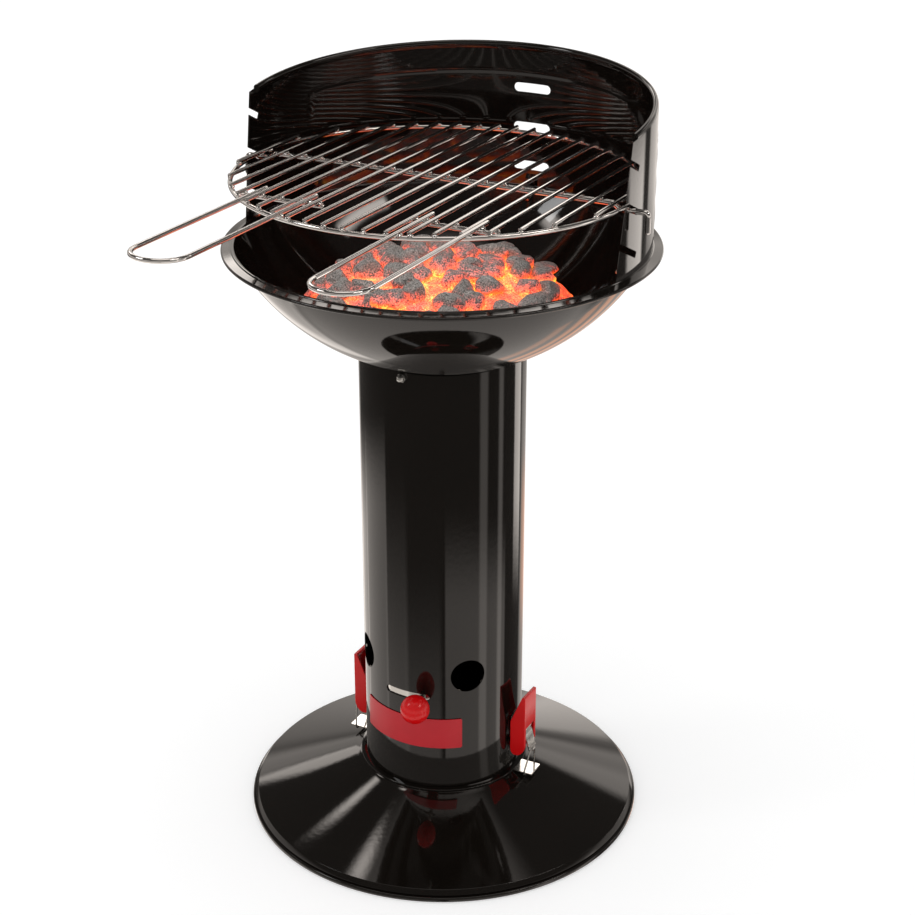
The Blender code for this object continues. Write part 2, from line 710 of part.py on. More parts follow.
def build_bowl():
    inner_sphere = BOWL_SPHERE_R - BOWL_WALL
    spigot_out = COLUMN_R - COLUMN_WALL - GAP
    spigot_in = spigot_out - BOWL_WALL
    profile = [
        (BOWL_MOUTH_R, sphere_z(BOWL_MOUTH_R)),
        (spigot_in, sphere_z(spigot_in)),
        (spigot_in, SPIGOT_LOW_Z),
        (spigot_out, SPIGOT_LOW_Z),
        (spigot_out, sphere_z(spigot_out)),
    ]
    steps = 9
    low_angle = math.asin(spigot_out / BOWL_SPHERE_R)
    under_z = FLANGE_IN_Z - BOWL_WALL - 0.0014
    high_angle = math.acos((BOWL_CENTRE_Z - under_z) / BOWL_SPHERE_R)
    for step in range(1, steps + 1):
        angle = low_angle + (high_angle - low_angle) * step / steps
        profile.append((BOWL_SPHERE_R * math.sin(angle), BOWL_CENTRE_Z - BOWL_SPHERE_R * math.cos(angle)))
    out_z = FLANGE_IN_Z - FLANGE_DROP
    profile += [
        (FLANGE_IN_R - 0.0011, FLANGE_IN_Z - BOWL_WALL),
        (RIM_OUT_R - RIM_THICK + 0.0002, out_z - BOWL_WALL + 0.0001),
        (RIM_OUT_R - RIM_THICK + 0.0004, out_z - RIM_THICK * 0.80),
        (RIM_OUT_R - RIM_THICK * 0.62, out_z - RIM_THICK),
        (RIM_OUT_R - RIM_THICK * 0.25, out_z - RIM_THICK * 0.90),
        (RIM_OUT_R, out_z - RIM_THICK * 0.52),
        (RIM_OUT_R - RIM_THICK * 0.18, out_z - RIM_THICK * 0.14),
        (FLANGE_OUT_R, out_z),
        (FLANGE_IN_R, FLANGE_IN_Z),
        (BEAD_OUT_R, BEAD_Z),
        (BEAD_IN_R + 0.0008, BEAD_Z),
        (BEAD_IN_R, BEAD_Z - 0.0010),
    ]
    start = math.asin((BEAD_IN_R - 0.0003) / inner_sphere)
    finish = math.asin(BOWL_MOUTH_R / inner_sphere)
    for step in range(steps + 1):
        angle = start + (finish - start) * step / steps
        profile.append((inner_sphere * math.sin(angle), BOWL_CENTRE_Z - inner_sphere * math.cos(angle)))
    bowl = node_from("bowl", *turned(profile), "black_enamel")

    for side, sign in (("right", 1), ("left", -1)):
        low_z = BEAD_Z - 0.0015
        outline = [(LUG_IN_R, low_z), (LUG_OUT_R, low_z), (LUG_OUT_R, LUG_TOP_Z), (LUG_IN_R, LUG_TOP_Z)]
        turn = Matrix.Rotation(math.radians(sign * SIDE_NUT_AZ - 90), 3, "Z")
        lug = extruded(outline, -LUG_HALF_W, LUG_HALF_W, lambda a, b, level, turn=turn: turn @ Vector((a, level, b)))
        join(bowl, [node_from("bowl_lug_" + side, *lug, None)])
        name = "bowl_lug_hole_" + side
        near, far = LUG_IN_R - 0.0050, LUG_OUT_R + 0.0003
        cut(bowl, [hole_cutter(name, sign * SIDE_NUT_AZ, SIDE_NUT_Z, SIDE_SHANK_R + HOLE_GAP, near, far, 12)])
    for azimuth in BOWL_SCREW_AZIMUTHS:
        name = f"bowl_screw_hole_{azimuth:.0f}"
        near, far = spigot_in - 0.0080, spigot_out + 0.0050
        cut(bowl, [hole_cutter(name, azimuth, BOWL_SCREW_Z, BOWL_SCREW_R + HOLE_GAP, near, far)])
        head = spigot_in - GAP - 0.0002
        nut = COLUMN_R + GAP + 0.0001
        screw = [
            (0, head - BOWL_SCREW_HEAD_THICK),
            (BOWL_SCREW_HEAD_R - 0.0008, head - BOWL_SCREW_HEAD_THICK),
            (BOWL_SCREW_HEAD_R, head - BOWL_SCREW_HEAD_THICK * 0.5),
            (BOWL_SCREW_HEAD_R, head),
            (BOWL_SCREW_R, head),
            (BOWL_SCREW_R, nut),
            (DOME_R, nut),
            (DOME_R, nut + DOME_LONG * 0.40),
            (DOME_R * 0.86, nut + DOME_LONG * 0.50),
            (DOME_R * 0.80, nut + DOME_LONG * 0.72),
            (DOME_R * 0.55, nut + DOME_LONG * 0.92),
            (0, nut + DOME_LONG),
        ]
        frame = at_azimuth(azimuth, BOWL_SCREW_Z)
        node_from(f"bowl_screw_{azimuth:.0f}", *turned(screw, SMALL_STEPS, frame), "polished_steel")


def tail_frame():
    """The frame of the rear bolt: it stands square on the bowl's wall and its origin is the sphere's centre."""
    tilt = math.degrees(math.asin((BOWL_CENTRE_Z - TAIL_BOLT_Z) / (BOWL_SPHERE_R - BOWL_WALL)))
    return at_azimuth(180.0, BOWL_CENTRE_Z, tilt)


def ring_height():
    return ROD_Z - ROD_R - GAP - RING_WIRE_R


def dip_height():
    """Where the crossbar runs below the ring and through the notches."""
    return ring_height() - RING_WIRE_R - GAP - BAR_WIRE_R


def on_grid(x, y, z):
    """A point of the level grid, tilted with it about the crossbar."""
    tilt = Matrix.Rotation(math.radians(-GRID_TILT), 3, "X")
    return Vector((x, BAR_Y, ROD_Z)) + tilt @ Vector((0, y - BAR_Y, z - ROD_Z))


def top_edge(azimuth):
    """Height of the windscreen's upper edge at this azimuth, highest at the back."""
    return SCREEN_BACK_Z - SCREEN_DROP * ((180.0 - azimuth) / 90.0) ** 2


def build_windscreen():
    inner = SCREEN_R - SCREEN_WALL
    end_span = SCREEN_END_TOP_AZ - SCREEN_END_LOW_AZ
    low_z, end_z = SCREEN_LOW_Z, SCREEN_END_TOP_Z
    heights = [0.0, 0.5, 1.0]
    # Each row is radius, share of the plain sheet's height, offset from the upper edge, azimuth where it ends
    rows = [(SCREEN_R, share, None, SCREEN_END_LOW_AZ + end_span * share) for share in heights]
    rows += [
        (SCREEN_R, None, -0.0022, HEM_END_AZ),
        (SCREEN_R - 0.0012, None, -0.0005, HEM_END_AZ),
        (SCREEN_R - 0.0034, None, 0.0, HEM_END_AZ),
        (HEM_IN_R + 0.0010, None, -0.0012, HEM_END_AZ),
        (HEM_IN_R, None, -0.0040, HEM_END_AZ),
        (HEM_IN_R + 0.0006, None, -HEM_DEPTH + 0.0018, HEM_END_AZ),
        (HEM_IN_R + 0.0030, None, -HEM_DEPTH, HEM_END_AZ),
        (inner, None, -HEM_DEPTH + 0.0008, HEM_END_AZ),
    ]
    rows += [(inner, share, None, SCREEN_END_LOW_AZ + end_span * share) for share in reversed(heights)]
    points = []
    count = len(rows)
    for step in range(SCREEN_STEPS + 1):
        for radius, share, offset, start in rows:
            azimuth = start + (360.0 - 2 * start) * step / SCREEN_STEPS
            edge = top_edge(min(azimuth, 360.0 - azimuth))
            if offset is None:
                plain = edge - HEM_DEPTH - 0.0010 if radius == inner else edge - 0.0045
                limit = low_z + (plain - low_z) * share
                height = min(limit, end_z) if step in (0, SCREEN_STEPS) else limit
            else:
                height = edge + offset
            points.append(polar(radius, azimuth, height))
    faces = [list(range(count)), list(range(len(points) - 1, len(points) - 1 - count, -1))]
    for step in range(SCREEN_STEPS):
        for row in range(count):
            after = (row + 1) % count
            first, second = step * count, (step + 1) * count
            faces.append([first + row, first + after, second + after, second + row])
    screen = node_from("windscreen", points, faces, "black_enamel", 40.0, True)

    slope = math.radians(NOTCH_SLOPE)
    along = Vector((-math.cos(slope), math.sin(slope)))
    upward = Vector((math.sin(slope), math.cos(slope)))
    bar = on_grid(0, BAR_Y, dip_height())
    for level in (-1, 0, 1):
        centre = Vector((bar.y, bar.z + level * NOTCH_PITCH)) + upward * (NOTCH_HALF_H - BAR_WIRE_R - GAP)
        back, front = -(BAR_WIRE_R + GAP), NOTCH_LONG
        outline = [
            centre + along * (back + 0.0008) - upward * NOTCH_HALF_H,
            centre + along * front - upward * NOTCH_HALF_H,
            centre + along * front + upward * NOTCH_HALF_H,
            centre + along * (back + 0.0008) + upward * NOTCH_HALF_H,
            centre + along * back + upward * (NOTCH_HALF_H - 0.0008),
            centre + along * back - upward * (NOTCH_HALF_H - 0.0008),
        ]
        for side, sign in (("right", 1), ("left", -1)):
            reach = (SCREEN_R - 0.0330, SCREEN_R + 0.0270)
            shape = extruded(outline, *reach, lambda a, b, level, sign=sign: Vector((sign * level, a, b)))
            cut(screen, [node_from(f"screen_notch_{side}_{level + 1}", *shape, None)])
    for level in (-1, 0, 1):
        outline = []
        slot_z = BACK_SLOT_Z + level * NOTCH_PITCH
        for sign in (1, -1):
            for step in range(7):
                angle = math.pi * (step / 6 - 0.5)
                across = BACK_SLOT_HALF_W - BACK_SLOT_HALF_H + BACK_SLOT_HALF_H * math.cos(angle)
                outline.append((sign * across, slot_z + sign * BACK_SLOT_HALF_H * math.sin(angle)))
        shape = extruded(outline, SCREEN_R - 0.0180, SCREEN_R + 0.0170, lambda a, b, level: Vector((a, level, b)))
        cut(screen, [node_from(f"screen_back_slot_{level + 1}", *shape, None)])
    for side, sign in (("right", 1), ("left", -1)):
        name = "screen_stud_hole_" + side
        near, far = SCREEN_R - 0.0032, SCREEN_R + 0.0028
        cut(screen, [hole_cutter(name, sign * SIDE_NUT_AZ, SIDE_NUT_Z, SIDE_SHANK_R + HOLE_GAP, near, far, 12)])

    # The tongue leaves the sheet's inner face, steps in past the bowl's bead and lies along the bowl's wall
    wall = BOWL_SPHERE_R - BOWL_WALL - GAP - 0.0002
    root = inner + 0.0005
    shelf = (BEAD_IN_R - 0.0010, SCREEN_LOW_Z + 0.0085)
    end_z = TAIL_BOLT_Z - TAIL_END_DROP
    outer = [
        (shelf[0], BEAD_Z - 0.0045),
        (sphere_r(TAIL_BOLT_Z, wall) - 0.0001, TAIL_BOLT_Z),
        (sphere_r(end_z, wall), end_z),
    ]
    outline = [(root, SCREEN_LOW_Z + 0.0130), shelf] + outer
    outline += [(radius - TAIL_THICK, height - 0.0006) for radius, height in reversed(outer)]
    outline += [(shelf[0] - TAIL_THICK, shelf[1]), (root, SCREEN_LOW_Z + 0.0145)]
    tail = extruded(outline, -TAIL_HALF_W, TAIL_HALF_W, lambda a, b, level: Vector((level, a, b)))
    join(screen, [node_from("screen_tail", *tail, None)])
    frame = tail_frame()
    shank = SIDE_SHANK_R + HOLE_GAP
    hole = [(0, wall - 0.0040), (shank, wall - 0.0040), (shank, wall + 0.0050), (0, wall + 0.0050)]
    tail_hole = node_from("tail_bolt_hole", *turned(hole, 12, frame), None)
    cut(screen, [tail_hole])
    cut(bpy.data.objects["bowl"], [tail_hole])


def build_screen_fasteners():
    inside = LUG_IN_R - GAP
    for side, sign in (("right", 1), ("left", -1)):
        profile = [
            (0, inside - SIDE_NUT_LONG),
            (SIDE_NUT_R * 0.55, inside - SIDE_NUT_LONG * 0.93),
            (SIDE_NUT_R * 0.80, inside - SIDE_NUT_LONG * 0.72),
            (SIDE_NUT_R * 0.84, inside - SIDE_NUT_LONG * 0.50),
            (SIDE_NUT_R, inside - SIDE_NUT_LONG * 0.42),
            (SIDE_NUT_R, inside),
            (SIDE_SHANK_R, inside),
            (SIDE_SHANK_R, SCREEN_R),
            (0, SCREEN_R),
        ]
        frame = at_azimuth(sign * SIDE_NUT_AZ, SIDE_NUT_Z)
        node_from("screen_nut_" + side, *turned(profile, 12, frame), "polished_steel")
    wall = BOWL_SPHERE_R - BOWL_WALL
    head = wall - 0.0024
    nut = BOWL_SPHERE_R + GAP + 0.0002
    profile = [
        (0, head - 0.0030),
        (0.0026, head - 0.0026),
        (0.0042, head - 0.0008),
        (0.0042, head),
        (SIDE_SHANK_R, head),
        (SIDE_SHANK_R, nut),
        (0.0040, nut),
        (0.0040, nut + 0.0030),
        (SIDE_SHANK_R, nut + 0.0030),
        (SIDE_SHANK_R, nut + 0.0045),
        (0, nut + 0.0045),
    ]
    node_from("screen_bolt_back", *turned(profile, 12, tail_frame()), "polished_steel")


def grate_height():
    """The grate's underside: its edge lies on the bowl's wall, with room for the facets of both."""
    return sphere_z(GRATE_R, BOWL_SPHERE_R - BOWL_WALL) + GRATE_SEAT


def build_charcoal():
    bottom = grate_height()
    disc = extruded(round_hole((0, 0), GRATE_R, 48), bottom, bottom + GRATE_THICK, upright)
    grate = node_from("charcoal_grate", *disc, "grate_steel")
    row_height = GRATE_HOLE_PITCH * math.sqrt(3) / 2
    number = 0
    for row in range(-4, 5):
        for column in range(-4, 5):
            x = (column + (row % 2) / 2) * GRATE_HOLE_PITCH
            y = row * row_height
            if math.hypot(x, y) + GRATE_HOLE_R > GRATE_R - 0.0070:
                continue
            shape = extruded(round_hole((x, y), GRATE_HOLE_R, 8), bottom - 0.003, bottom + 0.005, upright)
            cut(grate, [node_from(f"grate_hole_{number}", *shape, None)])
            number += 1

    # The bed: its edge rests above the bowl's wall and its top is a heap of lumps
    low = bottom + GRATE_THICK + GAP
    edge_z = sphere_z(COAL_R, BOWL_SPHERE_R - BOWL_WALL) + COAL_EDGE_RISE
    steps = 64
    rings = 18
    lumps = coal_lumps()
    rows = [[(COAL_LOW_R * 0.5, low)] * steps, [(COAL_LOW_R, low)] * steps, [(COAL_R, edge_z)] * steps]
    for ring in range(1, rings):
        radius = COAL_R * (1 - ring / rings)
        row = []
        for step in range(steps):
            angle = math.tau * step / steps
            rise = lump_rise(lumps, radius * math.cos(angle), radius * math.sin(angle))
            row.append((radius, edge_z + COAL_HEAP * (1 - (radius / COAL_R) ** 2) + rise))
        rows.append(row)
    points = [Vector((0, 0, low))]
    for row in rows:
        for step, (radius, height) in enumerate(row):
            angle = math.tau * step / steps
            points.append(Vector((radius * math.cos(angle), radius * math.sin(angle), height)))
    points.append(Vector((0, 0, edge_z + COAL_HEAP + lump_rise(lumps, 0, 0))))
    faces = []
    last = 1 + (len(rows) - 1) * steps
    for step in range(steps):
        after = (step + 1) % steps
        faces.append([0, 1 + after, 1 + step])
        for row in range(len(rows) - 1):
            first, second = 1 + row * steps, 1 + (row + 1) * steps
            faces.append([first + step, first + after, second + after, second + step])
        faces.append([last + step, last + after, len(points) - 1])
    node_from("charcoal_bed", points, faces, "charcoal", 40.0)


def coal_lumps():
    """Centre, direction and half sizes of each lump, on a loose lattice."""
    lumps = []
    for row in range(-6, 7):
        for column in range(-6, 7):
            seed = 12.9898 * row + 78.233 * column
            x = (column + (row % 2) / 2 + 0.26 * math.sin(seed)) * LUMP_PITCH
            y = (row * 0.84 + 0.24 * math.sin(2.3 * seed + 1.0)) * LUMP_PITCH
            if math.hypot(x, y) > COAL_R - 0.0180:
                continue
            turn = math.pi * math.sin(1.7 * seed + 0.5)
            half_long = LUMP_HALF_LONG * (1 + 0.16 * math.sin(3.1 * seed))
            half_wide = LUMP_HALF_WIDE * (1 + 0.14 * math.sin(4.7 * seed))
            lumps.append((x, y, turn, half_long, half_wide, 1 + 0.30 * math.sin(5.3 * seed)))
    return lumps


def lump_rise(lumps, x, y):
    """How far the lumps' tops stand above the heap here."""
    best = 0.0
    for centre_x, centre_y, turn, half_long, half_wide, share in lumps:
        along = (x - centre_x) * math.cos(turn) + (y - centre_y) * math.sin(turn)
        across = (y - centre_y) * math.cos(turn) - (x - centre_x) * math.sin(turn)
        inside = 1 - (along / half_long) ** 2 - (across / half_wide) ** 2
        if inside > 0:
            best = max(best, LUMP_RISE * share * math.sqrt(inside))
    return best


def build_grid():
    steps = TURN_STEPS
    ring_z = ring_height()
    circle = []
    for step in range(steps):
        spot = polar(GRID_RING_R, 360.0 * step / steps, ring_z)
        circle.append(on_grid(spot.x, spot.y + GRID_RING_Y, spot.z))
    node_from("grid_ring", *wire(circle, RING_WIRE_R, WIRE_SIDES, True), "chrome_wire")

    for number in range(ROD_COUNT):
        x = (number - (ROD_COUNT - 1) / 2) * ROD_PITCH
        reach = math.sqrt(GRID_RING_R ** 2 - x ** 2)
        front_y = GRID_RING_Y - reach - ROD_FRONT_OVER
        rear_y = GRID_RING_Y + reach + ROD_REAR_OVER
        path = [on_grid(x, front_y, ROD_Z), on_grid(x, rear_y, ROD_Z)]
        node_from(f"grid_rod_{number:02d}", *wire(path, ROD_R), "chrome_wire")

    bar_z = ROD_Z - ROD_R - GAP - BAR_WIRE_R
    dip_z = dip_height()
    half = [
        (BAR_DIP_IN_X, bar_z),
        (BAR_DIP_IN_X + BAR_DIP_LONG, dip_z),
        (BAR_HOOK_X, dip_z),
        (BAR_HOOK_X, BAR_HOOK_Z),
    ]
    corners = [on_grid(-x, BAR_Y, z) for x, z in reversed(half)] + [on_grid(x, BAR_Y, z) for x, z in half]
    node_from("grid_crossbar", *wire(rounded_path(corners, 0.0040, 3), BAR_WIRE_R), "chrome_wire")

    # The short bars end just inside the ring, and the handles lie on them and on the ring
    inside = GRID_RING_R - RING_WIRE_R - 2 * GAP
    short_out = math.sqrt(inside ** 2 - (SHORT_BAR_Y - RING_WIRE_R - GRID_RING_Y) ** 2)
    handle_z = ring_z + RING_WIRE_R + GAP + HANDLE_WIRE_R
    for side, sign in (("right", 1), ("left", -1)):
        path = [on_grid(sign * x, SHORT_BAR_Y, ring_z) for x in (SHORT_BAR_IN_X, short_out)]
        node_from("grid_short_bar_" + side, *wire(path, RING_WIRE_R), "chrome_wire")
        corners = [
            on_grid(sign * HANDLE_IN_X, HANDLE_REAR_Y, handle_z),
            on_grid(sign * HANDLE_IN_X, HANDLE_FRONT_Y, handle_z),
            on_grid(sign * HANDLE_OUT_X, HANDLE_FRONT_Y, handle_z),
            on_grid(sign * HANDLE_OUT_X, HANDLE_REAR_Y, handle_z),
        ]
        shape = wire(rounded_path(corners, HANDLE_CORNER_R, 8), HANDLE_WIRE_R)
        node_from("grid_handle_" + side, *shape, "chrome_wire")


clear_scene()
build_foot()
build_water_pan()
build_column()
build_damper()
build_label()
build_clip("right", 1)
build_clip("left", -1)
build_bowl()
build_windscreen()
build_screen_fasteners()
build_charcoal()
build_grid()
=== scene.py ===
import math
import bmesh
import bpy
import numpy as np
from mathutils import Matrix, Vector


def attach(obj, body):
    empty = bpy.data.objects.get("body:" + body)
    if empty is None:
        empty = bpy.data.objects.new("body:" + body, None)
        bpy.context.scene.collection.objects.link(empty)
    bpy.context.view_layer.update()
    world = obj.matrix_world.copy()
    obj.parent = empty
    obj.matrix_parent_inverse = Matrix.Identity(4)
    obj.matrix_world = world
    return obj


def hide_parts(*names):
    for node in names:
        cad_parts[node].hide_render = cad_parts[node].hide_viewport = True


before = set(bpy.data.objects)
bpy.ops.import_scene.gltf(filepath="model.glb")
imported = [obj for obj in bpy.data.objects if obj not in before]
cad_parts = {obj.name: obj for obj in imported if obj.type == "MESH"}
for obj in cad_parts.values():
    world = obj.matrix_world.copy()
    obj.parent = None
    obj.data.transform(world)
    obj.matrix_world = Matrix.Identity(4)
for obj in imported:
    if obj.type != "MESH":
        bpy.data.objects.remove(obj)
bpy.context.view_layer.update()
print("frame loaded:", len(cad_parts), "nodes")

# Main sizes, in metres, as the frame has them
grill = {
    "columnRadius": 0.0920,
    "columnWall": 0.0012,
    "columnLow": 0.0593,
    "columnTop": 0.5704,
    "seatLow": 0.0573,
    "seatTop": 0.0590,
    "bowlCentre": 0.80572,
    "bowlRadius": 0.25174,
    "bowlWall": 0.0012,
    "earOut": 0.1215,
    "earHalf": 0.0125,
    "knobAzimuth": 11.7,
    "gap": 0.0003,
    "turnSteps": 256,
}


# Small tools for meshes: every surface is worked out as a whole array
def gridFaces(rows, cols, closeRows=False, closeCols=False):
    # quads of a rows x cols grid of points, each row or column optionally joined end to end
    rowStarts = np.arange(rows if closeRows else rows - 1)
    colStarts = np.arange(cols if closeCols else cols - 1)
    i, j = np.meshgrid(rowStarts, colStarts, indexing="ij")
    i, j = i.ravel(), j.ravel()
    nextI, nextJ = (i + 1) % rows, (j + 1) % cols
    return np.stack([i * cols + j, i * cols + nextJ, nextI * cols + nextJ, nextI * cols + j], 1).tolist()


def revolve(profile, steps=None, closed=True):
    # point(i, a) = (r_i cos a, r_i sin a, z_i): the profile of (radius, height) carried round the Z axis
    steps = steps or grill["turnSteps"]
    profile = np.asarray(profile, float)
    angle = np.linspace(0, math.tau, steps, endpoint=False)
    points = np.empty((len(profile), steps, 3))
    points[..., 0] = profile[:, :1] * np.cos(angle)
    points[..., 1] = profile[:, :1] * np.sin(angle)
    points[..., 2] = profile[:, 1:2]
    return points.reshape(-1, 3), gridFaces(len(profile), steps, closed, True)


def aimed(shape, azimuth, height):
    # turns a shape built along +Z so that it points out from the column at this azimuth
    turn = Matrix.Rotation(math.radians(azimuth - 90), 3, "Z") @ Matrix.Rotation(math.radians(90), 3, "Y")
    points = np.asarray(shape[0]) @ np.array(turn).T + (0, 0, height)
    return points, shape[1]


def tube(path, flatNormal, radius, sides=16, closed=False):
    # wire along a flat path: point = path + radius (cos v * side + sin v * flatNormal),
    # where side = flatNormal x tangent
    path = np.asarray(path, float)
    if closed:
        tangent = np.roll(path, -1, 0) - np.roll(path, 1, 0)
    else:
        tangent = np.gradient(path, axis=0)
    tangent /= np.linalg.norm(tangent, axis=1, keepdims=True)
    flat = np.asarray(flatNormal, float) / np.linalg.norm(flatNormal)
    side = np.cross(np.broadcast_to(flat, tangent.shape), tangent)
    angle = np.linspace(0, math.tau, sides, endpoint=False)
    if not closed:   # the ends close in three small steps, as cut and tumbled wire does
        shrink = np.array([0.0, 0.72, 0.94])
        reach = np.array([0.0, 0.12, 0.34]) * radius
        length = len(path)
        firstEnd = path[:1] + tangent[:1] * reach[:, None]
        lastEnd = path[-1:] - tangent[-1:] * reach[::-1, None]
        path = np.concatenate([firstEnd, path[1:-1], lastEnd])
        side = np.concatenate([np.repeat(side[:1], 3, 0), side[1:-1], np.repeat(side[-1:], 3, 0)])
        scale = np.concatenate([shrink, np.ones(length - 2), shrink[::-1]]) * radius
        scale[0] = scale[-1] = radius * 1e-4
    else:
        scale = np.full(len(path), radius)
    ring = np.cos(angle)[None, :, None] * side[:, None, :] + np.sin(angle)[None, :, None] * flat
    points = path[:, None, :] + ring * scale[:, None, None]
    return points.reshape(-1, 3), gridFaces(len(path), sides, closed, True)


def roundedPath(corners, radius, step=0.0015, closed=False):
    # straight runs joined by arcs of this radius, resampled at even steps
    corners = np.asarray(corners, float)
    count = len(corners)
    pieces = []
    for index in range(count):
        here = corners[index]
        if not closed and index in (0, count - 1):
            pieces.append(here[None])
            continue
        back = corners[index - 1] - here
        ahead = corners[(index + 1) % count] - here
        back /= np.linalg.norm(back)
        ahead /= np.linalg.norm(ahead)
        half = math.acos(np.clip(back @ ahead, -1, 1)) / 2
        if half > math.pi / 2 - 0.01:
            pieces.append(here[None])
            continue
        middle = (back + ahead) / np.linalg.norm(back + ahead)
        centre = here + middle * radius / math.sin(half)
        start = here + back * radius / math.tan(half) - centre
        end = here + ahead * radius / math.tan(half) - centre
        span = math.pi - 2 * half
        part = np.linspace(0, 1, max(4, int(span / 0.2)))[:, None]
        arc = (start * np.sin((1 - part) * span) + end * np.sin(part * span)) / math.sin(span)
        pieces.append(centre + arc)
    path = np.concatenate(pieces)
    if closed:
        path = np.concatenate([path, path[:1]])
    run = np.concatenate([[0], np.cumsum(np.linalg.norm(np.diff(path, axis=0), axis=1))])
    even = np.linspace(0, run[-1], max(3, int(run[-1] / step)))
    even = np.unique(np.concatenate([even, run])) if not closed else even[:-1]
    keep = np.concatenate([[True], np.diff(even) > step * 0.2])
    even = even[keep]
    return np.stack([np.interp(even, run, path[:, axis]) for axis in range(3)], 1)


def prism(outline, low, high, order="xyz"):
    # outline of (a, b) carried from level low to high; order says which axes a, b and the level run along
    outline = np.asarray(outline, float)
    count = len(outline)
    points = np.empty((2, count, 3))
    axes = ["xyz".index(letter) for letter in order]
    points[..., axes[0]] = outline[:, 0]
    points[..., axes[1]] = outline[:, 1]
    points[0, :, axes[2]] = low
    points[1, :, axes[2]] = high
    index = np.arange(count)
    after = (index + 1) % count
    faces = np.stack([index, after, count + after, count + index], 1).tolist()
    faces += [index.tolist(), (index[::-1] + count).tolist()]
    return points.reshape(-1, 3), faces


def circle(centreA, centreB, radius, steps=32, start=0.0, span=math.tau):
    angle = start + np.linspace(0, span, steps, endpoint=span < math.tau - 1e-6)
    return np.stack([centreA + radius * np.cos(angle), centreB + radius * np.sin(angle)], 1)


def arcPoints(centre, radius, startDeg, endDeg, count):
    angle = np.radians(np.linspace(startDeg, endDeg, count))
    return np.stack([centre[0] + radius * np.cos(angle), centre[1] + radius * np.sin(angle)], 1)


def upright(radius, heights):
    # points (radius, height) of a straight wall
    return np.stack([np.full(len(heights), radius), heights], 1)


def slotOutline(halfLong, middle, radius):
    # level slot with round ends, half its length and the radius of its ends given
    half = halfLong - radius
    return np.concatenate([circle(half, middle, radius, 13, -math.pi / 2, math.pi),
                           circle(-half, middle, radius, 13, math.pi / 2, math.pi)])


def hexPrism(reach, low, high, turn=0.0):
    # nut along +Z, with its corners this far from the axis
    corner = np.radians(np.arange(6) * 60.0 + turn)
    return prism(np.stack([reach * np.cos(corner), reach * np.sin(corner)], 1), low, high)


def headedBolt(head, headLow, headTop, thread, end, tip, steps):
    # flat head with a broken edge, then the thread, along +Z
    return revolve([[1e-6, headLow], [head - 0.0002, headLow], [head, headLow + 0.0004], [head, headTop],
                    [thread, headTop], [thread, end], [1e-6, end + tip]], steps, False)


def gather(shapes):
    # several shapes as one list of points and faces
    points, faces, offset = [], [], 0
    for shapePoints, shapeFaces in shapes:
        points.append(np.asarray(shapePoints))
        faces += [[index + offset for index in face] for face in shapeFaces]
        offset += len(shapePoints)
    return np.concatenate(points), faces


def linkObject(name, data):
    item = bpy.data.objects.new(name, data)
    bpy.context.scene.collection.objects.link(item)
    return item


def newMesh(name, shape, merge=1e-6, heat=None):
    # merges doubles and turns the faces outwards; heat is a value for each point, for the coals' glow
    mesh = bpy.data.meshes.new(name)
    mesh.from_pydata(np.asarray(shape[0]).tolist(), [], shape[1])
    if heat is not None:
        mesh.attributes.new("emberHeat", "FLOAT", "POINT").data.foreach_set("value", heat.astype(np.float32))
    work = bmesh.new()
    work.from_mesh(mesh)
    bmesh.ops.remove_doubles(work, verts=work.verts, dist=merge)
    if heat is None:
        bmesh.ops.dissolve_degenerate(work, edges=work.edges, dist=1e-7)
    bmesh.ops.recalc_face_normals(work, faces=work.faces)
    work.to_mesh(mesh)
    work.free()
    return mesh


def makePiece(name, shape, material, body, nodes=(), smooth=35.0, merge=1e-6, heat=None):
    mesh = newMesh(name, shape, merge, heat)
    mesh.materials.append(material)
    mesh.shade_smooth()
    if smooth:
        mesh.set_sharp_from_angle(angle=math.radians(smooth))
    piece = linkObject(name, mesh)
    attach(piece, body)
    if nodes:
        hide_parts(*nodes)
    return piece


def cutPiece(piece, shapes, smooth=35.0):
    # cuts all these closed shapes out of the piece with one Boolean, and keeps the result as its mesh
    cutter = linkObject("cutter", newMesh("cutter", gather(shapes)))
    step = piece.modifiers.new("Cut", "BOOLEAN")
    step.operation = "DIFFERENCE"
    step.solver = "EXACT"
    step.object = cutter
    bpy.context.view_layer.update()
    result = bpy.data.meshes.new_from_object(piece.evaluated_get(bpy.context.evaluated_depsgraph_get()))
    piece.modifiers.clear()
    piece.data = result
    bpy.data.objects.remove(cutter, do_unlink=True)
    result.shade_smooth()
    result.set_sharp_from_angle(angle=math.radians(smooth))


def roundNormals(piece, field, limit=0.93):
    # a face that lies along the true surface gets that surface's normal, so that gloss shows no facets
    mesh = piece.data
    loopVerts = np.empty(len(mesh.loops), np.int32)
    mesh.loops.foreach_get("vertex_index", loopVerts)
    places = np.empty(len(mesh.vertices) * 3)
    mesh.vertices.foreach_get("co", places)
    places = places.reshape(-1, 3)[loopVerts]
    starts = np.empty(len(mesh.polygons), np.int32)
    totals = np.empty(len(mesh.polygons), np.int32)
    faceNormals = np.empty(len(mesh.polygons) * 3)
    mesh.polygons.foreach_get("loop_start", starts)
    mesh.polygons.foreach_get("loop_total", totals)
    mesh.polygons.foreach_get("normal", faceNormals)
    faceNormals = np.repeat(faceNormals.reshape(-1, 3), totals, axis=0)
    normals = np.empty(len(mesh.loops) * 3)
    mesh.corner_normals.foreach_get("vector", normals)
    normals = normals.reshape(-1, 3)
    true = field(places)
    side = np.sum(true * faceNormals, 1)
    fits = np.abs(side) > limit
    normals[fits] = true[fits] * np.sign(side[fits])[:, None]
    mesh.normals_split_custom_set(normals.tolist())


def radialField(places):
    flat = places * (1, 1, 0)
    return flat / np.maximum(np.linalg.norm(flat, axis=1, keepdims=True), 1e-9)


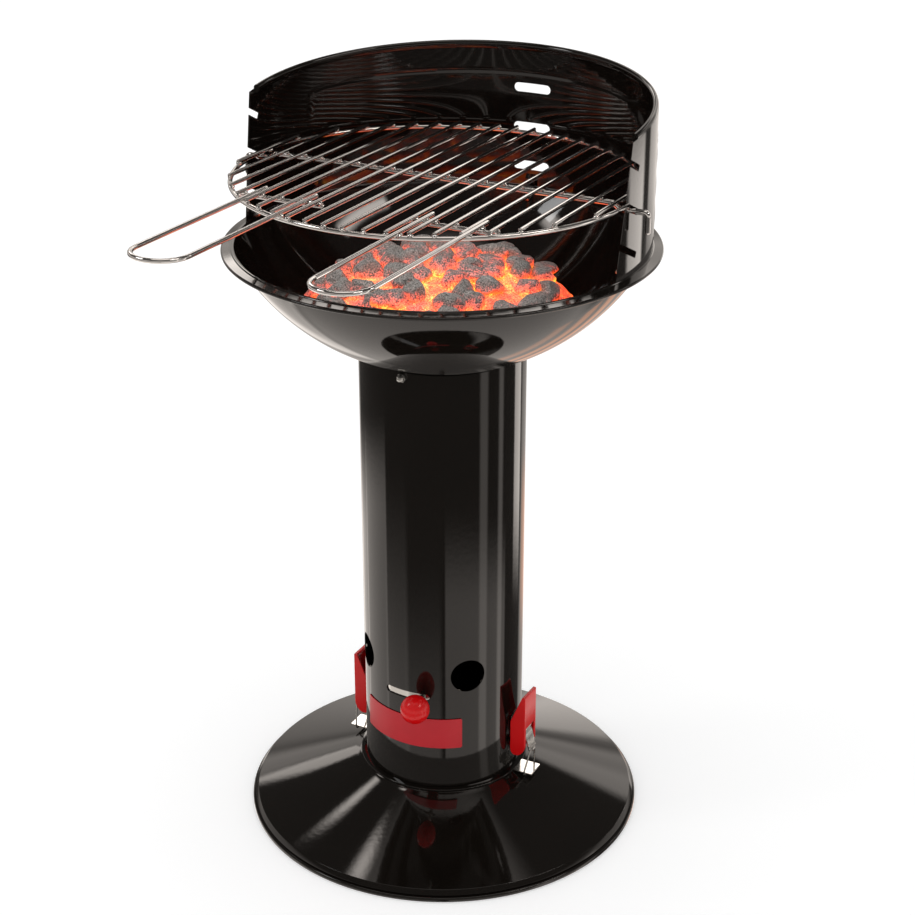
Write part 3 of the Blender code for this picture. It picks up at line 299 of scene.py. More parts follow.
def addBevel(piece, width, segments=3, angle=30.0):
    step = piece.modifiers.new("Edges", "BEVEL")
    step.width = width
    step.segments = segments
    step.limit_method = "ANGLE"
    step.angle_limit = math.radians(angle)
    step.harden_normals = False


# Materials
def toLinear(code):
    values = [int(code[index:index + 2], 16) / 255 for index in (1, 3, 5)]
    return tuple(v / 12.92 if v <= 0.04045 else ((v + 0.055) / 1.055) ** 2.4 for v in values) + (1.0,)


def addNode(tree, kind, settings=None, links=None):
    # one node: settings are its own properties or its sockets' values, links are its sockets' sources
    node = tree.nodes.new(kind)
    for key, value in (settings or {}).items():
        if isinstance(key, str) and hasattr(node, key):
            setattr(node, key, value)
        else:
            node.inputs[key].default_value = value
    for key, source in (links or {}).items():
        tree.links.new(source, node.inputs[key])
    return node


def newMaterial(name, base, metallic, roughness, ior=None):
    material = bpy.data.materials.new(name)
    material.use_nodes = True
    tree = material.node_tree
    shader = tree.nodes["Principled BSDF"]
    shader.inputs["Base Color"].default_value = toLinear(base)
    shader.inputs["Metallic"].default_value = metallic
    shader.inputs["Roughness"].default_value = roughness
    if ior:
        shader.inputs["IOR"].default_value = ior
    where = addNode(tree, "ShaderNodeTexCoord").outputs["Object"]
    return material, tree, shader, where


def addBump(tree, shader, height, distance, strength):
    bump = addNode(tree, "ShaderNodeBump", {"Strength": strength, "Distance": distance}, {"Height": height})
    tree.links.new(bump.outputs["Normal"], shader.inputs["Normal"])


def vary(tree, shader, pattern, roughness=None, colours=None):
    # a pattern of 0 to 1 moves the roughness between two values, and the colour between two colours
    if roughness:
        node = addNode(tree, "ShaderNodeMapRange", {"To Min": roughness[0], "To Max": roughness[1]},
                       {"Value": pattern})
        tree.links.new(node.outputs["Result"], shader.inputs["Roughness"])
    if colours:
        ends = {"data_type": "RGBA", 6: toLinear(colours[0]), 7: toLinear(colours[1])}
        node = addNode(tree, "ShaderNodeMix", ends, {0: pattern})
        tree.links.new(node.outputs[2], shader.inputs["Base Color"])


def makeBlackEnamel():
    # vitreous enamel, sprayed and fired on sheet steel: deep warm black, mirror gloss,
    # a faint orange peel 6 mm wide
    material, tree, shader, where = newMaterial("blackVitreousEnamel", "#0d0a08", 0.0, 0.045, 1.52)
    shader.inputs["Coat Weight"].default_value = 0.25
    shader.inputs["Coat Roughness"].default_value = 0.03
    shader.inputs["Coat IOR"].default_value = 1.5
    peel = addNode(tree, "ShaderNodeTexNoise", {"Scale": 165, "Detail": 1.0},
                   {"Vector": where}).outputs["Fac"]
    haze = addNode(tree, "ShaderNodeTexNoise", {"Scale": 9, "Detail": 3.0}, {"Vector": where}).outputs["Fac"]
    vary(tree, shader, haze, (0.035, 0.075), ("#0b0907", "#120e0b"))
    addBump(tree, shader, peel, 0.00012, 0.16)
    return material


def makeChrome():
    # chromium plate on drawn steel wire: near-white mirror, slightly wavy, with faint stains from the fire
    material, tree, shader, where = newMaterial("chromePlatedWire", "#f0efee", 1.0, 0.06)
    wave = addNode(tree, "ShaderNodeTexNoise", {"Scale": 260, "Detail": 2.0},
                   {"Vector": where}).outputs["Fac"]
    stain = addNode(tree, "ShaderNodeTexNoise", {"Scale": 38, "Detail": 3.0},
                    {"Vector": where}).outputs["Fac"]
    vary(tree, shader, stain, (0.04, 0.10), ("#f6f5f4", "#e2dfdc"))
    addBump(tree, shader, wave, 0.0001, 0.12)
    return material


def makePolishedSteel():
    # stamped stainless sheet, bright annealed: a white mirror with faint rolling lines about 1 mm apart,
    # which are coarser than real ones, so that they show
    material, tree, shader, where = newMaterial("brightStainlessSheet", "#e9e7e3", 1.0, 0.10)
    along = addNode(tree, "ShaderNodeMapping", {"Scale": (1.0, 0.06, 1.0)},
                    {"Vector": where}).outputs["Vector"]
    lines = addNode(tree, "ShaderNodeTexNoise", {"Scale": 900, "Detail": 2.0},
                    {"Vector": along}).outputs["Fac"]
    vary(tree, shader, lines, (0.07, 0.16))
    addBump(tree, shader, lines, 0.00003, 0.25)
    return material


def makeSatinSteel():
    # zinc-plated spring steel: soft grey sheen, tumbled, with darker spots where the plating is thin
    material, tree, shader, where = newMaterial("zincPlatedSteel", "#c9c8c4", 1.0, 0.24)
    spots = addNode(tree, "ShaderNodeTexNoise", {"Scale": 320, "Detail": 4.0, "Roughness": 0.6},
                    {"Vector": where}).outputs["Fac"]
    vary(tree, shader, spots, (0.16, 0.34), ("#b4b3b0", "#d8d7d3"))
    addBump(tree, shader, spots, 0.00004, 0.2)
    return material


def makeRedPlastic():
    # moulded nylon: saturated signal red with a soft gloss and the faint grain of an eroded mould, 0.8 mm
    material, tree, shader, where = newMaterial("mouldedRedNylon", "#c8040a", 0.0, 0.24, 1.5)
    grain = addNode(tree, "ShaderNodeTexNoise", {"Scale": 1250, "Detail": 2.0},
                    {"Vector": where}).outputs["Fac"]
    tone = addNode(tree, "ShaderNodeTexNoise", {"Scale": 24, "Detail": 2.0}, {"Vector": where}).outputs["Fac"]
    vary(tree, shader, tone, (0.20, 0.30), ("#bd0308", "#d2070c"))
    addBump(tree, shader, grain, 0.00003, 0.3)
    return material


def makeRedLabel():
    # aluminium plate, printed flat red and left bare: an even red with a satin sheen
    material, tree, shader, where = newMaterial("redPrintedPlate", "#b81c26", 0.0, 0.30, 1.46)
    tone = addNode(tree, "ShaderNodeTexNoise", {"Scale": 60, "Detail": 2.0}, {"Vector": where}).outputs["Fac"]
    grain = addNode(tree, "ShaderNodeTexNoise", {"Scale": 700, "Detail": 2.0},
                    {"Vector": where}).outputs["Fac"]
    vary(tree, shader, tone, (0.26, 0.36), ("#b01a24", "#bd202a"))
    addBump(tree, shader, grain, 0.00002, 0.2)
    return material


def makeGrateSteel():
    # mild steel plate that fire has blued and sooted: dull, almost black, patchy
    material, tree, shader, where = newMaterial("sootedSteelPlate", "#23201e", 0.8, 0.6)
    soot = addNode(tree, "ShaderNodeTexNoise", {"Scale": 90, "Detail": 5.0, "Roughness": 0.6},
                   {"Vector": where}).outputs["Fac"]
    vary(tree, shader, soot, (0.45, 0.8), ("#171514", "#3a3431"))
    addBump(tree, shader, soot, 0.0003, 0.4)
    return material


glowColours = [(0.0, "#000000"), (0.24, "#140200"), (0.40, "#8a1803"), (0.60, "#e83c08"), (0.82, "#ff7412"),
               (1.0, "#ffc43c")]


def makeCoal(name, glowPower):
    # burning lump charcoal: grey ash with black pores 1.5 mm apart on top, red to yellow heat in the gaps
    material, tree, shader, where = newMaterial(name, "#6b6661", 0.0, 0.92, 1.4)
    pores = addNode(tree, "ShaderNodeTexNoise", {"Scale": 620, "Detail": 3.0, "Roughness": 0.7},
                    {"Vector": where}).outputs["Fac"]
    patch = addNode(tree, "ShaderNodeTexNoise", {"Scale": 75, "Detail": 3.0, "Roughness": 0.6},
                    {"Vector": where}).outputs["Fac"]
    speckle = addNode(tree, "ShaderNodeMapRange", {"To Min": -1.1, "To Max": 2.1}, {"Value": pores})
    greys = {"data_type": "RGBA", 6: toLinear("#3a3735"), 7: toLinear("#e4e0da")}
    ash = addNode(tree, "ShaderNodeMix", greys, {0: speckle.outputs["Result"]})
    cover = addNode(tree, "ShaderNodeMapRange", {"To Min": -0.5, "To Max": 1.0}, {"Value": patch})
    ash = addNode(tree, "ShaderNodeMix", {"data_type": "RGBA", 7: toLinear("#8a857f")},
                  {0: cover.outputs["Result"], 6: ash.outputs[2]})
    tree.links.new(ash.outputs[2], shader.inputs["Base Color"])

    heat = addNode(tree, "ShaderNodeAttribute", {"attribute_name": "emberHeat"}).outputs["Fac"]
    fine = addNode(tree, "ShaderNodeMath", {"operation": "MULTIPLY_ADD", 1: 1.5, 2: -0.75}, {0: pores})
    broad = addNode(tree, "ShaderNodeMath", {"operation": "MULTIPLY_ADD", 1: 0.6, 2: -0.3}, {0: patch})
    total = addNode(tree, "ShaderNodeMath", {"operation": "ADD"}, {0: heat, 1: fine.outputs[0]})
    total = addNode(tree, "ShaderNodeMath", {"operation": "ADD", "use_clamp": True},
                    {0: total.outputs[0], 1: broad.outputs[0]})
    ramp = addNode(tree, "ShaderNodeValToRGB", {}, {"Fac": total.outputs[0]})
    stops = ramp.color_ramp.elements
    for place, code in glowColours:
        stop = stops[0] if place == 0.0 else stops[-1] if place == 1.0 else stops.new(place)
        stop.position = place
        stop.color = toLinear(code)
    tree.links.new(ramp.outputs["Color"], shader.inputs["Emission Color"])
    shader.inputs["Emission Strength"].default_value = glowPower
    addBump(tree, shader, pores, 0.0009, 0.55)
    return material


enamel = makeBlackEnamel()
chrome = makeChrome()
polishedSteel = makePolishedSteel()
satinSteel = makeSatinSteel()
redPlastic = makeRedPlastic()
redLabel = makeRedLabel()
grateSteel = makeGrateSteel()
coalSkin = makeCoal("burningCharcoal", 1.6)
emberSkin = makeCoal("charcoalEmbers", 1.9)
print("materials ready")


# Foot, pan and column
foot = {"radius": 0.2293, "skirtRadius": 0.2262, "skirtZ": 0.0070, "lipZ": 0.0040, "coneRadius": 0.2229,
        "coneLow": 0.0122, "collarRadius": 0.0990, "mouthRadius": 0.0885, "top": 0.0570, "innerLip": 0.2231,
        "wall": 0.0015, "topWall": 0.0022, "grooveDeep": 0.0012, "collarRound": 0.0016, "edgeRound": 0.0006,
        "lipRound": 0.0018, "rimRound": 0.0010, "innerRound": 0.0008}


def buildFoot():
    # profile: collar top, straight cone, edge, steep skirt, groove, standing lip, then back along the inside
    collar, mouth, top = foot["collarRadius"], foot["mouthRadius"], foot["top"]
    cone, low = foot["coneRadius"], foot["coneLow"]
    skirt, skirtZ = foot["skirtRadius"], foot["skirtZ"]
    groove, inner, round_ = skirt - foot["grooveDeep"], foot["innerLip"], foot["innerRound"]
    slope = math.degrees(math.atan2(top - low, cone - collar))
    share = np.linspace(0, 1, 24)[:, None]
    coneTop = np.array([collar + 0.0010, top - 0.0009])
    coneEnd = np.array([cone - 0.0004, low + 0.0002])
    profile = np.concatenate([
        [[mouth, top]],
        arcPoints((collar - 0.0012, top - foot["collarRound"]), foot["collarRound"], 90, 90 - slope * 0.6, 6),
        coneTop + (coneEnd - coneTop) * share,
        arcPoints((cone - foot["edgeRound"], low - 0.0005), foot["edgeRound"], 66, 34, 4),
        [[skirt - 0.0002, skirtZ + 0.0004], [skirt, skirtZ]],
        [[groove, skirtZ - 0.0007], [groove, skirtZ - 0.0011]],
        arcPoints((foot["radius"] - foot["lipRound"], foot["lipZ"] - 0.0006), foot["lipRound"], 95, 10, 8),
        arcPoints((foot["radius"] - foot["rimRound"], foot["rimRound"]), foot["rimRound"], 0, -90, 5),
        arcPoints((inner + round_, round_), round_, -90, -180, 4),
        [[inner, skirtZ + 0.0010], [cone - 0.0012, low - foot["wall"]]],
        [[collar, top - foot["topWall"]], [mouth, top - foot["topWall"]]],
    ])
    makePiece("footDisc", revolve(profile), enamel, "stand", ["foot"], 20)


pan = {"floorRadius": 0.0800, "corner": 0.0034, "brim": 0.0874, "flange": 0.0979, "insideRadius": 0.0785,
       "insideCorner": 0.0033, "wall": 0.0015, "earIn": 0.0960, "earCorner": 0.0016, "edge": 0.0004}


def buildPan():
    # the cup below the column, its seat flange, and the two ears that the clips pull on
    low, top, brim = grill["seatLow"], grill["seatTop"], pan["brim"]
    inside = (pan["insideRadius"], pan["wall"] + pan["insideCorner"])
    profile = np.concatenate([
        [[1e-5, 0], [pan["floorRadius"], 0]],
        arcPoints((pan["floorRadius"], pan["corner"]), pan["corner"], -90, -5, 6),
        [[brim - 0.0006, low - 0.0010], [brim, low], [pan["flange"], low]],
        arcPoints((pan["flange"] - 0.0002, (low + top) / 2), (top - low) / 2, -80, 80, 7),
        [[brim - 0.0008, top], [brim - 0.0020, top - 0.0010], [inside[0] + pan["insideCorner"], 0.0042]],
        arcPoints(inside, pan["insideCorner"], -10, -90, 6), [[1e-5, pan["wall"]]],
    ])
    cup = makePiece("seatRingAndPan", revolve(profile), enamel, "stand", ["water_pan"], 28)
    addBevel(cup, pan["edge"], 2, 50)
    corner = pan["earCorner"]
    reach, half = grill["earOut"] - corner, grill["earHalf"] - corner
    outline = np.concatenate([
        [[pan["earIn"], -grill["earHalf"]]], circle(reach, -half, corner, 6, -math.pi / 2, math.pi / 2),
        circle(reach, half, corner, 6, 0, math.pi / 2), [[pan["earIn"], grill["earHalf"]]],
    ])
    ears = [prism(outline * (sign, 1), low + 0.0001, top - 0.0001) for sign in (1, -1)]
    catch = makePiece("catchEars", gather(ears), polishedSteel, "stand", (), 28)
    addBevel(catch, pan["edge"], 2, 50)


vent = {"radius": 0.0200, "z": 0.2045, "azimuths": (45, 135, 225, 315)}
airSlot = {"z": 0.1770, "halfHigh": 0.0045, "halfTurn": 17.5}


def ventCutters():
    # a round bar through the wall at each air hole
    bar = revolve([[1e-6, 0.05], [vent["radius"], 0.05], [vent["radius"], 0.12], [1e-6, 0.12]], 72, False)
    return [aimed(bar, azimuth, vent["z"]) for azimuth in vent["azimuths"]]


def buildColumn():
    outer, wall, edge = grill["columnRadius"], grill["columnWall"], 0.0003
    low, top = grill["columnLow"], grill["columnTop"]
    heights = np.linspace(low + 0.0004, top - 0.0004, 14)
    profile = np.concatenate([
        upright(outer, heights), [[outer - edge, top], [outer - wall + edge, top]],
        upright(outer - wall, heights[::-1]), [[outer - wall + edge, low], [outer - edge, low]],
    ])
    column = makePiece("columnTube", revolve(profile), enamel, "stand", ["column"], 30)
    halfLong = outer * math.sin(math.radians(airSlot["halfTurn"]))
    opening = slotOutline(halfLong, airSlot["z"], airSlot["halfHigh"])
    cutPiece(column, ventCutters() + [prism(opening, -0.12, -0.06, "xzy")])
    roundNormals(column, radialField)


damper = {"low": 0.1330, "top": 0.2380, "wall": 0.0010, "head": 0.0042, "headLow": 0.0872, "headTop": 0.0890,
          "thread": 0.0025, "threadEnd": 0.1115, "nut": 0.0045, "nutHigh": 0.0028, "ball": 0.0165,
          "ballFlat": 0.0160, "ballCentre": 0.1180, "boreRadius": 0.0028, "boreEnd": 0.1118}


def buildDamper():
    # rolled sleeve of bright sheet inside the column, its stud with nut, and the ball
    outer = grill["columnRadius"] - grill["columnWall"] - grill["gap"]
    heights = np.linspace(damper["low"], damper["top"], 4)
    profile = np.concatenate([upright(outer, heights), upright(outer - damper["wall"], heights[::-1])])
    sleeve = makePiece("damperSleeve", revolve(profile), polishedSteel, "damper", ["damper_sleeve"])
    cutPiece(sleeve, ventCutters())
    roundNormals(sleeve, radialField)

    nutFace = grill["columnRadius"] + 0.0006
    shank = headedBolt(damper["head"], damper["headLow"], damper["headTop"], damper["thread"],
                       damper["threadEnd"], 0.0002, 32)
    nut = hexPrism(damper["nut"], nutFace, nutFace + damper["nutHigh"])
    parts = [aimed(part, grill["knobAzimuth"], airSlot["z"]) for part in (shank, nut)]
    stud = makePiece("damperStud", gather(parts), satinSteel, "damper", ["damper_stud"], 30)
    addBevel(stud, 0.0003, 2, 40)

    size, bore = damper["ball"], damper["boreRadius"]
    angle = np.linspace(math.acos(damper["ballFlat"] / size), math.pi, 56)
    ball = np.stack([size * np.sin(angle), damper["ballCentre"] - size * np.cos(angle)], 1)
    ball[-1, 0] = 1e-6
    mouth = [[bore, damper["boreEnd"]], [bore, 0.1026], [bore + 0.0004, 0.1021]]
    knob = aimed(revolve(np.concatenate([mouth, ball]), 96, False), grill["knobAzimuth"], airSlot["z"])
    makePiece("ballKnob", knob, redPlastic, "damper", ["ball_knob"], 40)


label = {"radius": 0.0923, "halfTurn": 40.5, "halfHigh": 0.0190, "corner": 0.0016, "z": 0.1310,
         "thick": 0.0008, "rows": 9, "cols": 97}


def buildLabel():
    # bare plate: a rounded rectangle in (arc length, height), bent round the column
    radius, corner, rows, cols = label["radius"], label["corner"], label["rows"], label["cols"]
    halfWidth = math.radians(label["halfTurn"]) * radius
    across = np.linspace(-1, 1, cols)
    u = across * halfWidth
    inset = np.maximum(0, np.abs(u) - (halfWidth - corner))
    reach = label["halfHigh"] - corner + np.sqrt(np.maximum(corner ** 2 - inset ** 2, 0))
    v = np.linspace(-1, 1, rows)[:, None] * reach
    azimuth = u / radius
    skins = []
    for lift in (0.0, label["thick"] - 0.0002 * (np.abs(across) > 0.999)):
        x, y = (radius + lift) * np.sin(azimuth), -(radius + lift) * np.cos(azimuth)
        skins.append(np.stack([np.broadcast_to(x, v.shape), np.broadcast_to(y, v.shape), label["z"] + v], -1))
    # the two skins are joined round their edge by a closed loop of rows
    loop = np.concatenate([skins[0], skins[1][::-1]])
    ends = [[row * cols + col for row in range(2 * rows)] for col in (0, cols - 1)]
    makePiece("labelPlate", (loop.reshape(-1, 3), gridFaces(2 * rows, cols, True, False) + ends), redLabel,
              "stand", ["label_plate"], 30)


buildFoot()
buildPan()
buildColumn()
buildDamper()
buildLabel()
print("foot, column and damper built")


# Bowl
bowl = {"mouth": 0.0700, "spigotLow": 0.5450, "underFlange": 0.2216, "beadIn": 0.2203, "beadOut": 0.2240,
        "beadTop": 0.6900, "beadRound": 0.0009, "flangeIn": 0.2247, "flangeInZ": 0.6889, "flangeOut": 0.2322,
        "flangeOutZ": 0.6880, "rollRadius": 0.00185, "rimOut": 0.2347}
lug = {"azimuth": 83, "inside": 0.2207, "outside": 0.2218, "low": 0.6885, "top": 0.7015, "half": 0.0060}


def sphereArc(radius, start, end, count):
    # points of the bowl's sphere between two radii from the axis
    angle = np.linspace(math.asin(start / radius), math.asin(end / radius), count)
    return np.stack([radius * np.sin(angle), grill["bowlCentre"] - radius * np.cos(angle)], 1)


def buildBowl():
    # profile: spigot, outer side, flange with its rolled edge, bead, and back down the inner side
    outer, inner = grill["bowlRadius"], grill["bowlRadius"] - grill["bowlWall"]
    spigotOut = grill["columnRadius"] - grill["columnWall"] - grill["gap"]
    spigotIn = spigotOut - grill["bowlWall"]
    roll, round_ = bowl["rollRadius"], bowl["beadRound"]
    flangeIn, flangeInZ, flangeOutZ = bowl["flangeIn"], bowl["flangeInZ"], bowl["flangeOutZ"]
    profile = np.concatenate([
        sphereArc(outer, bowl["mouth"], spigotIn, 6),
        [[spigotIn, bowl["spigotLow"]], [spigotOut, bowl["spigotLow"]]],
        sphereArc(outer, spigotOut, bowl["underFlange"], 60),
        [[bowl["underFlange"] + 0.0006, 0.6872], [flangeIn - 0.0009, flangeInZ - 0.0012]],
        [[bowl["flangeOut"] - 0.0013, flangeOutZ - 0.0011]],
        arcPoints((bowl["rimOut"] - roll, flangeOutZ - roll), roll, 190, 445, 22),
        [[bowl["flangeOut"], flangeOutZ + 0.0001], [flangeIn + 0.0006, flangeInZ]],
        [[flangeIn, flangeInZ + 0.0001]],
        arcPoints((bowl["beadOut"] - 0.0006, bowl["beadTop"] - 0.0007), 0.0007, 20, 90, 5),
        arcPoints((bowl["beadIn"] + round_, bowl["beadTop"] - round_), round_, 90, 180, 6),
        sphereArc(inner, bowl["mouth"], bowl["beadIn"] - 0.0003, 60)[::-1],
    ])
    shapes = [revolve(profile)]
    corners = [[lug["inside"], lug["low"]], [lug["outside"], lug["low"]], [lug["outside"], lug["top"]],
               [lug["inside"], lug["top"]]]
    plate = prism(corners, -lug["half"], lug["half"], "xzy")
    for sign in (1, -1):
        turn = np.array(Matrix.Rotation(math.radians(sign * lug["azimuth"] - 90), 3, "Z"))
        shapes.append((plate[0] @ turn.T, plate[1]))
    makePiece("bowlShell", gather(shapes), enamel, "stand", ["bowl"], 25)


bowlScrew = {"z": 0.5650, "azimuths": (0, 120, 240), "head": 0.0036, "headLow": 0.0870, "headTop": 0.0888,
             "thread": 0.0028, "nut": 0.0052, "nutHigh": 0.0034, "neck": 0.0044, "dome": 0.0042}


def buildBowlScrews():
    # cap nut with a round dome, and its bolt through column and spigot
    face = grill["columnRadius"] + 0.0004
    seat, neck = face + bowlScrew["nutHigh"], bowlScrew["neck"]
    nut = hexPrism(bowlScrew["nut"], face, seat, 30)
    cap = np.concatenate([[[1e-6, seat - 0.0004], [neck, seat - 0.0004], [neck, seat]],
                          arcPoints((0, seat + 0.0004), bowlScrew["dome"], 8, 89.9, 12)])
    bolt = headedBolt(bowlScrew["head"], bowlScrew["headLow"], bowlScrew["headTop"], bowlScrew["thread"],
                      face, 0.0, 24)
    for azimuth in bowlScrew["azimuths"]:
        shapes = [aimed(part, azimuth, bowlScrew["z"]) for part in (nut, revolve(cap, 36, False), bolt)]
        screw = makePiece(f"bowlScrew{azimuth}", gather(shapes), satinSteel, "stand",
                          [f"bowl_screw_{azimuth}"], 30)
        addBevel(screw, 0.0003, 2, 40)


buildBowl()
buildBowlScrews()
print("bowl built")


# Windscreen
screen = {"radius": 0.2232, "wall": 0.0010, "low": 0.6903, "back": 0.8555, "drop": 0.0200, "endLow": 78.5,
          "endTop": 84.6, "endTopZ": 0.8320, "hemEnd": 87.3, "hemIn": 0.2165, "hemDepth": 0.0090,
          "hemRound": 0.0036, "slope": 26.6, "pitch": 0.0450, "barY": -0.00818, "barZ": 0.75465,
          "beadHigh": 0.0007, "beadHalf": 0.0014, "beadBelow": 0.0350, "slotZ": 0.7588,
          "slotHalfWide": 0.0225, "slotHalfHigh": 0.0052}
# side and corner of the pressed line, in degrees from the back and height
beadCorner = [(69.0, 0.7000), (69.0, 0.8010), (67.8, 0.8065), (65.5, 0.8100), (62.5, 0.8117)]
notch = [(-0.0022, -0.0034), (0.0600, -0.0034), (0.0600, 0.0034), (-0.0022, 0.0034), (-0.0030, 0.0030),
         (-0.0033, 0.0022), (-0.0033, -0.0022), (-0.0030, -0.0030)]   # along and across, open at the far end


def upperEdge(back):
    # height of the sheet's upper edge: highest at the back, falling with the square of the azimuth
    return screen["back"] - screen["drop"] * (back / 90.0) ** 2


def embossedLines():
    # the pressed line runs up, round a corner and along below the upper edge, as pairs of ends
    lines = []
    for sign in (1, -1):
        corner = [(sign * azimuth, z) for azimuth, z in beadCorner]
        lines += list(zip(corner, corner[1:]))
    end = beadCorner[-1][0]
    top = [(azimuth, upperEdge(azimuth) - screen["beadBelow"]) for azimuth in np.linspace(-end, end, 26)]
    return lines + list(zip(top, top[1:]))


def embossAt(back, height):
    # height of the pressed bead at each point: a rounded ridge about the nearest of the lines
    arc = np.radians(back) * screen["radius"]
    nearest = np.full(np.shape(arc), 1.0)
    for (az0, z0), (az1, z1) in embossedLines():
        a0, a1 = math.radians(az0) * screen["radius"], math.radians(az1) * screen["radius"]
        along = np.array([a1 - a0, z1 - z0])
        part = np.clip(((arc - a0) * along[0] + (height - z0) * along[1]) / (along @ along), 0, 1)
        nearest = np.minimum(nearest, np.hypot(arc - a0 - part * along[0], height - z0 - part * along[1]))
    return screen["beadHigh"] * np.exp(-(nearest / screen["beadHalf"]) ** 2)


def buildScreen():
    # grid of (row of the cross-section, share of the way round); each row has its own radius, height and ends
    outer, inner, hemIn = screen["radius"], screen["radius"] - screen["wall"], screen["hemIn"]
    share = np.linspace(0, 1, 90)
    hemCentre, hemHalf = (outer + hemIn) / 2, (outer - hemIn) / 2
    # each row: radius, share of the plain sheet or None, offset from the upper edge
    kinds = [(outer, value, 0.0) for value in share]
    for angle in np.radians(np.linspace(-20, 200, 22)):
        rise = screen["hemRound"] if angle > 0 else 0.0040   # a little deeper where the roll leaves the sheet
        offset = rise * math.sin(angle) - screen["hemRound"]
        kinds.append((hemCentre + hemHalf * math.cos(angle), None, offset))
    kinds += [(hemIn + 0.0004, None, -0.0066), (hemIn + 0.0014, None, -0.0083),
              (hemIn + 0.0030, None, -screen["hemDepth"]), (inner - 0.0006, None, -0.0086)]
    kinds += [(inner, value, 0.0) for value in share[::-1]]
    steps = 220
    s = np.linspace(0, 1, steps)
    points = np.empty((len(kinds), steps, 3))
    for row, (radius, value, offset) in enumerate(kinds):
        if value is None:
            start = screen["hemEnd"]
        else:
            start = screen["endLow"] + (screen["endTop"] - screen["endLow"]) * value
        azimuth = start + (360.0 - 2 * start) * s
        back = azimuth - 180.0
        edge = upperEdge(back)
        if value is None:
            z = edge + offset
            r = np.full(steps, radius)
        else:
            reach = edge - 0.0048 if radius == outer else edge - 0.0094
            z = screen["low"] + (reach - screen["low"]) * value
            z = np.minimum(z, np.where((s < 0.012) | (s > 0.988), screen["endTopZ"], 1.0))
            r = radius + embossAt(back, z)
        angle = np.radians(azimuth)
        points[row] = np.stack([r * np.sin(angle), -r * np.cos(angle), z], 1)
    faces = gridFaces(len(kinds), steps, True, False)
    faces += [[row * steps + end for row in range(len(kinds))] for end in (0, steps - 1)]
    sheet = makePiece("windscreenSheet", (points.reshape(-1, 3), faces), enamel, "stand", ["windscreen"],
                      32)

    cutters = []
    slope = math.radians(screen["slope"])
    along = np.array([-math.cos(slope), math.sin(slope)])
    upward = np.array([math.sin(slope), math.cos(slope)])
    for level in (-1, 0, 1):
        centre = np.array([screen["barY"], screen["barZ"] + level * screen["pitch"]]) + upward * 0.0001
        outline = [centre + along * back + upward * side for back, side in notch]
        cutters += [prism(outline, 0.19, 0.25, "yzx"), prism(outline, -0.25, -0.19, "yzx")]
        middle = screen["slotZ"] + level * screen["pitch"]
        opening = slotOutline(screen["slotHalfWide"], middle, screen["slotHalfHigh"])
        cutters.append(prism(opening, 0.205, 0.240, "xzy"))
    cutPiece(sheet, cutters, 32)


tongue = {"top": 0.7033, "rise": 0.0015, "shelfZ": 0.6988, "bendZ": 0.6850, "low": 0.6680, "wall": 0.0010,
          "half": 0.0060}


def buildTongue():
    # strip welded to the sheet's inner face: it steps in past the bowl's bead and lies along the bowl's wall
    wall = grill["bowlRadius"] - grill["bowlWall"] - 0.0005
    weld, shelf = screen["radius"] - 0.0005, bowl["beadIn"] - 0.0010
    heights = np.linspace(tongue["bendZ"], tongue["low"], 9)
    down = np.stack([np.sqrt(wall ** 2 - (grill["bowlCentre"] - heights) ** 2), heights], 1)
    outer = np.concatenate([[[weld, tongue["top"]], [shelf, tongue["shelfZ"]]], down])
    start = [[weld, tongue["top"] + tongue["rise"]], [shelf - tongue["wall"], tongue["shelfZ"]]]
    inner = np.concatenate([start, down - (tongue["wall"], 0.0006)])
    strip = prism(np.concatenate([outer, inner[::-1]]), -tongue["half"], tongue["half"], "yzx")
    makePiece("screenTongue", strip, enamel, "stand", (), 30)


screenNut = {"z": 0.6953, "seat": 0.2204, "nut": 0.0044, "nutHigh": 0.0036, "dome": 0.0037,
             "domeCentre": 0.0044, "thread": 0.0020, "threadEnd": 0.2231}


def buildScreenFasteners():
    # cap nut on the inner side of each lug, its thread through the lug and the sheet
    seat, size, thread = screenNut["seat"], screenNut["dome"], screenNut["thread"]
    nut = hexPrism(screenNut["nut"], seat - screenNut["nutHigh"], seat)
    cap = arcPoints((0, screenNut["domeCentre"] - seat), size, 5, 89.9, 10) * (1, -1)
    dome = revolve(np.concatenate([[[1e-6, seat - 0.0034], [size, seat - 0.0034]], cap]), 28, False)
    shank = revolve([[1e-6, seat - 0.001], [thread, seat - 0.001], [thread, screenNut["threadEnd"]],
                     [1e-6, screenNut["threadEnd"] + 0.0001]], 20, False)
    for side, sign in (("right", 1), ("left", -1)):
        shapes = [aimed(part, sign * lug["azimuth"], screenNut["z"]) for part in (nut, dome, shank)]
        makePiece("screenNut_" + side, gather(shapes), satinSteel, "stand", ["screen_nut_" + side],
                  30)


buildScreen()
buildTongue()
buildScreenFasteners()
print("windscreen built")


# Cooking grid
grid = {"rodRadius": 0.00225, "rodZ": 0.7655, "pitch": 0.02175, "count": 20, "over": 0.0020,
        "ringRadius": 0.2152, "ringY": -0.0105, "wire": 0.0025, "ringZ": 0.76045, "barWire": 0.0030,
        "barY": -0.0080, "barZ": 0.75995, "dipZ": 0.75465, "dipIn": 0.1990, "dipLong": 0.0070,
        "hookX": 0.2360, "hookZ": 0.7326, "barCorner": 0.0042, "shortY": -0.1610, "shortIn": 0.0475,
        "shortOut": 0.1470, "handleIn": 0.0660, "handleOut": 0.1250,
        "handleRear": -0.1445, "handleFront": -0.3980, "handleCorner": 0.0285, "tilt": 0.95}


def onGrid(points):
    # the level grid turned about its crossbar, so that its front lies a little higher
    turn = np.array(Matrix.Rotation(math.radians(-grid["tilt"]), 3, "X"))
    pivot = np.array([0, grid["barY"], grid["rodZ"]])
    return (np.asarray(points) - pivot) @ turn.T + pivot


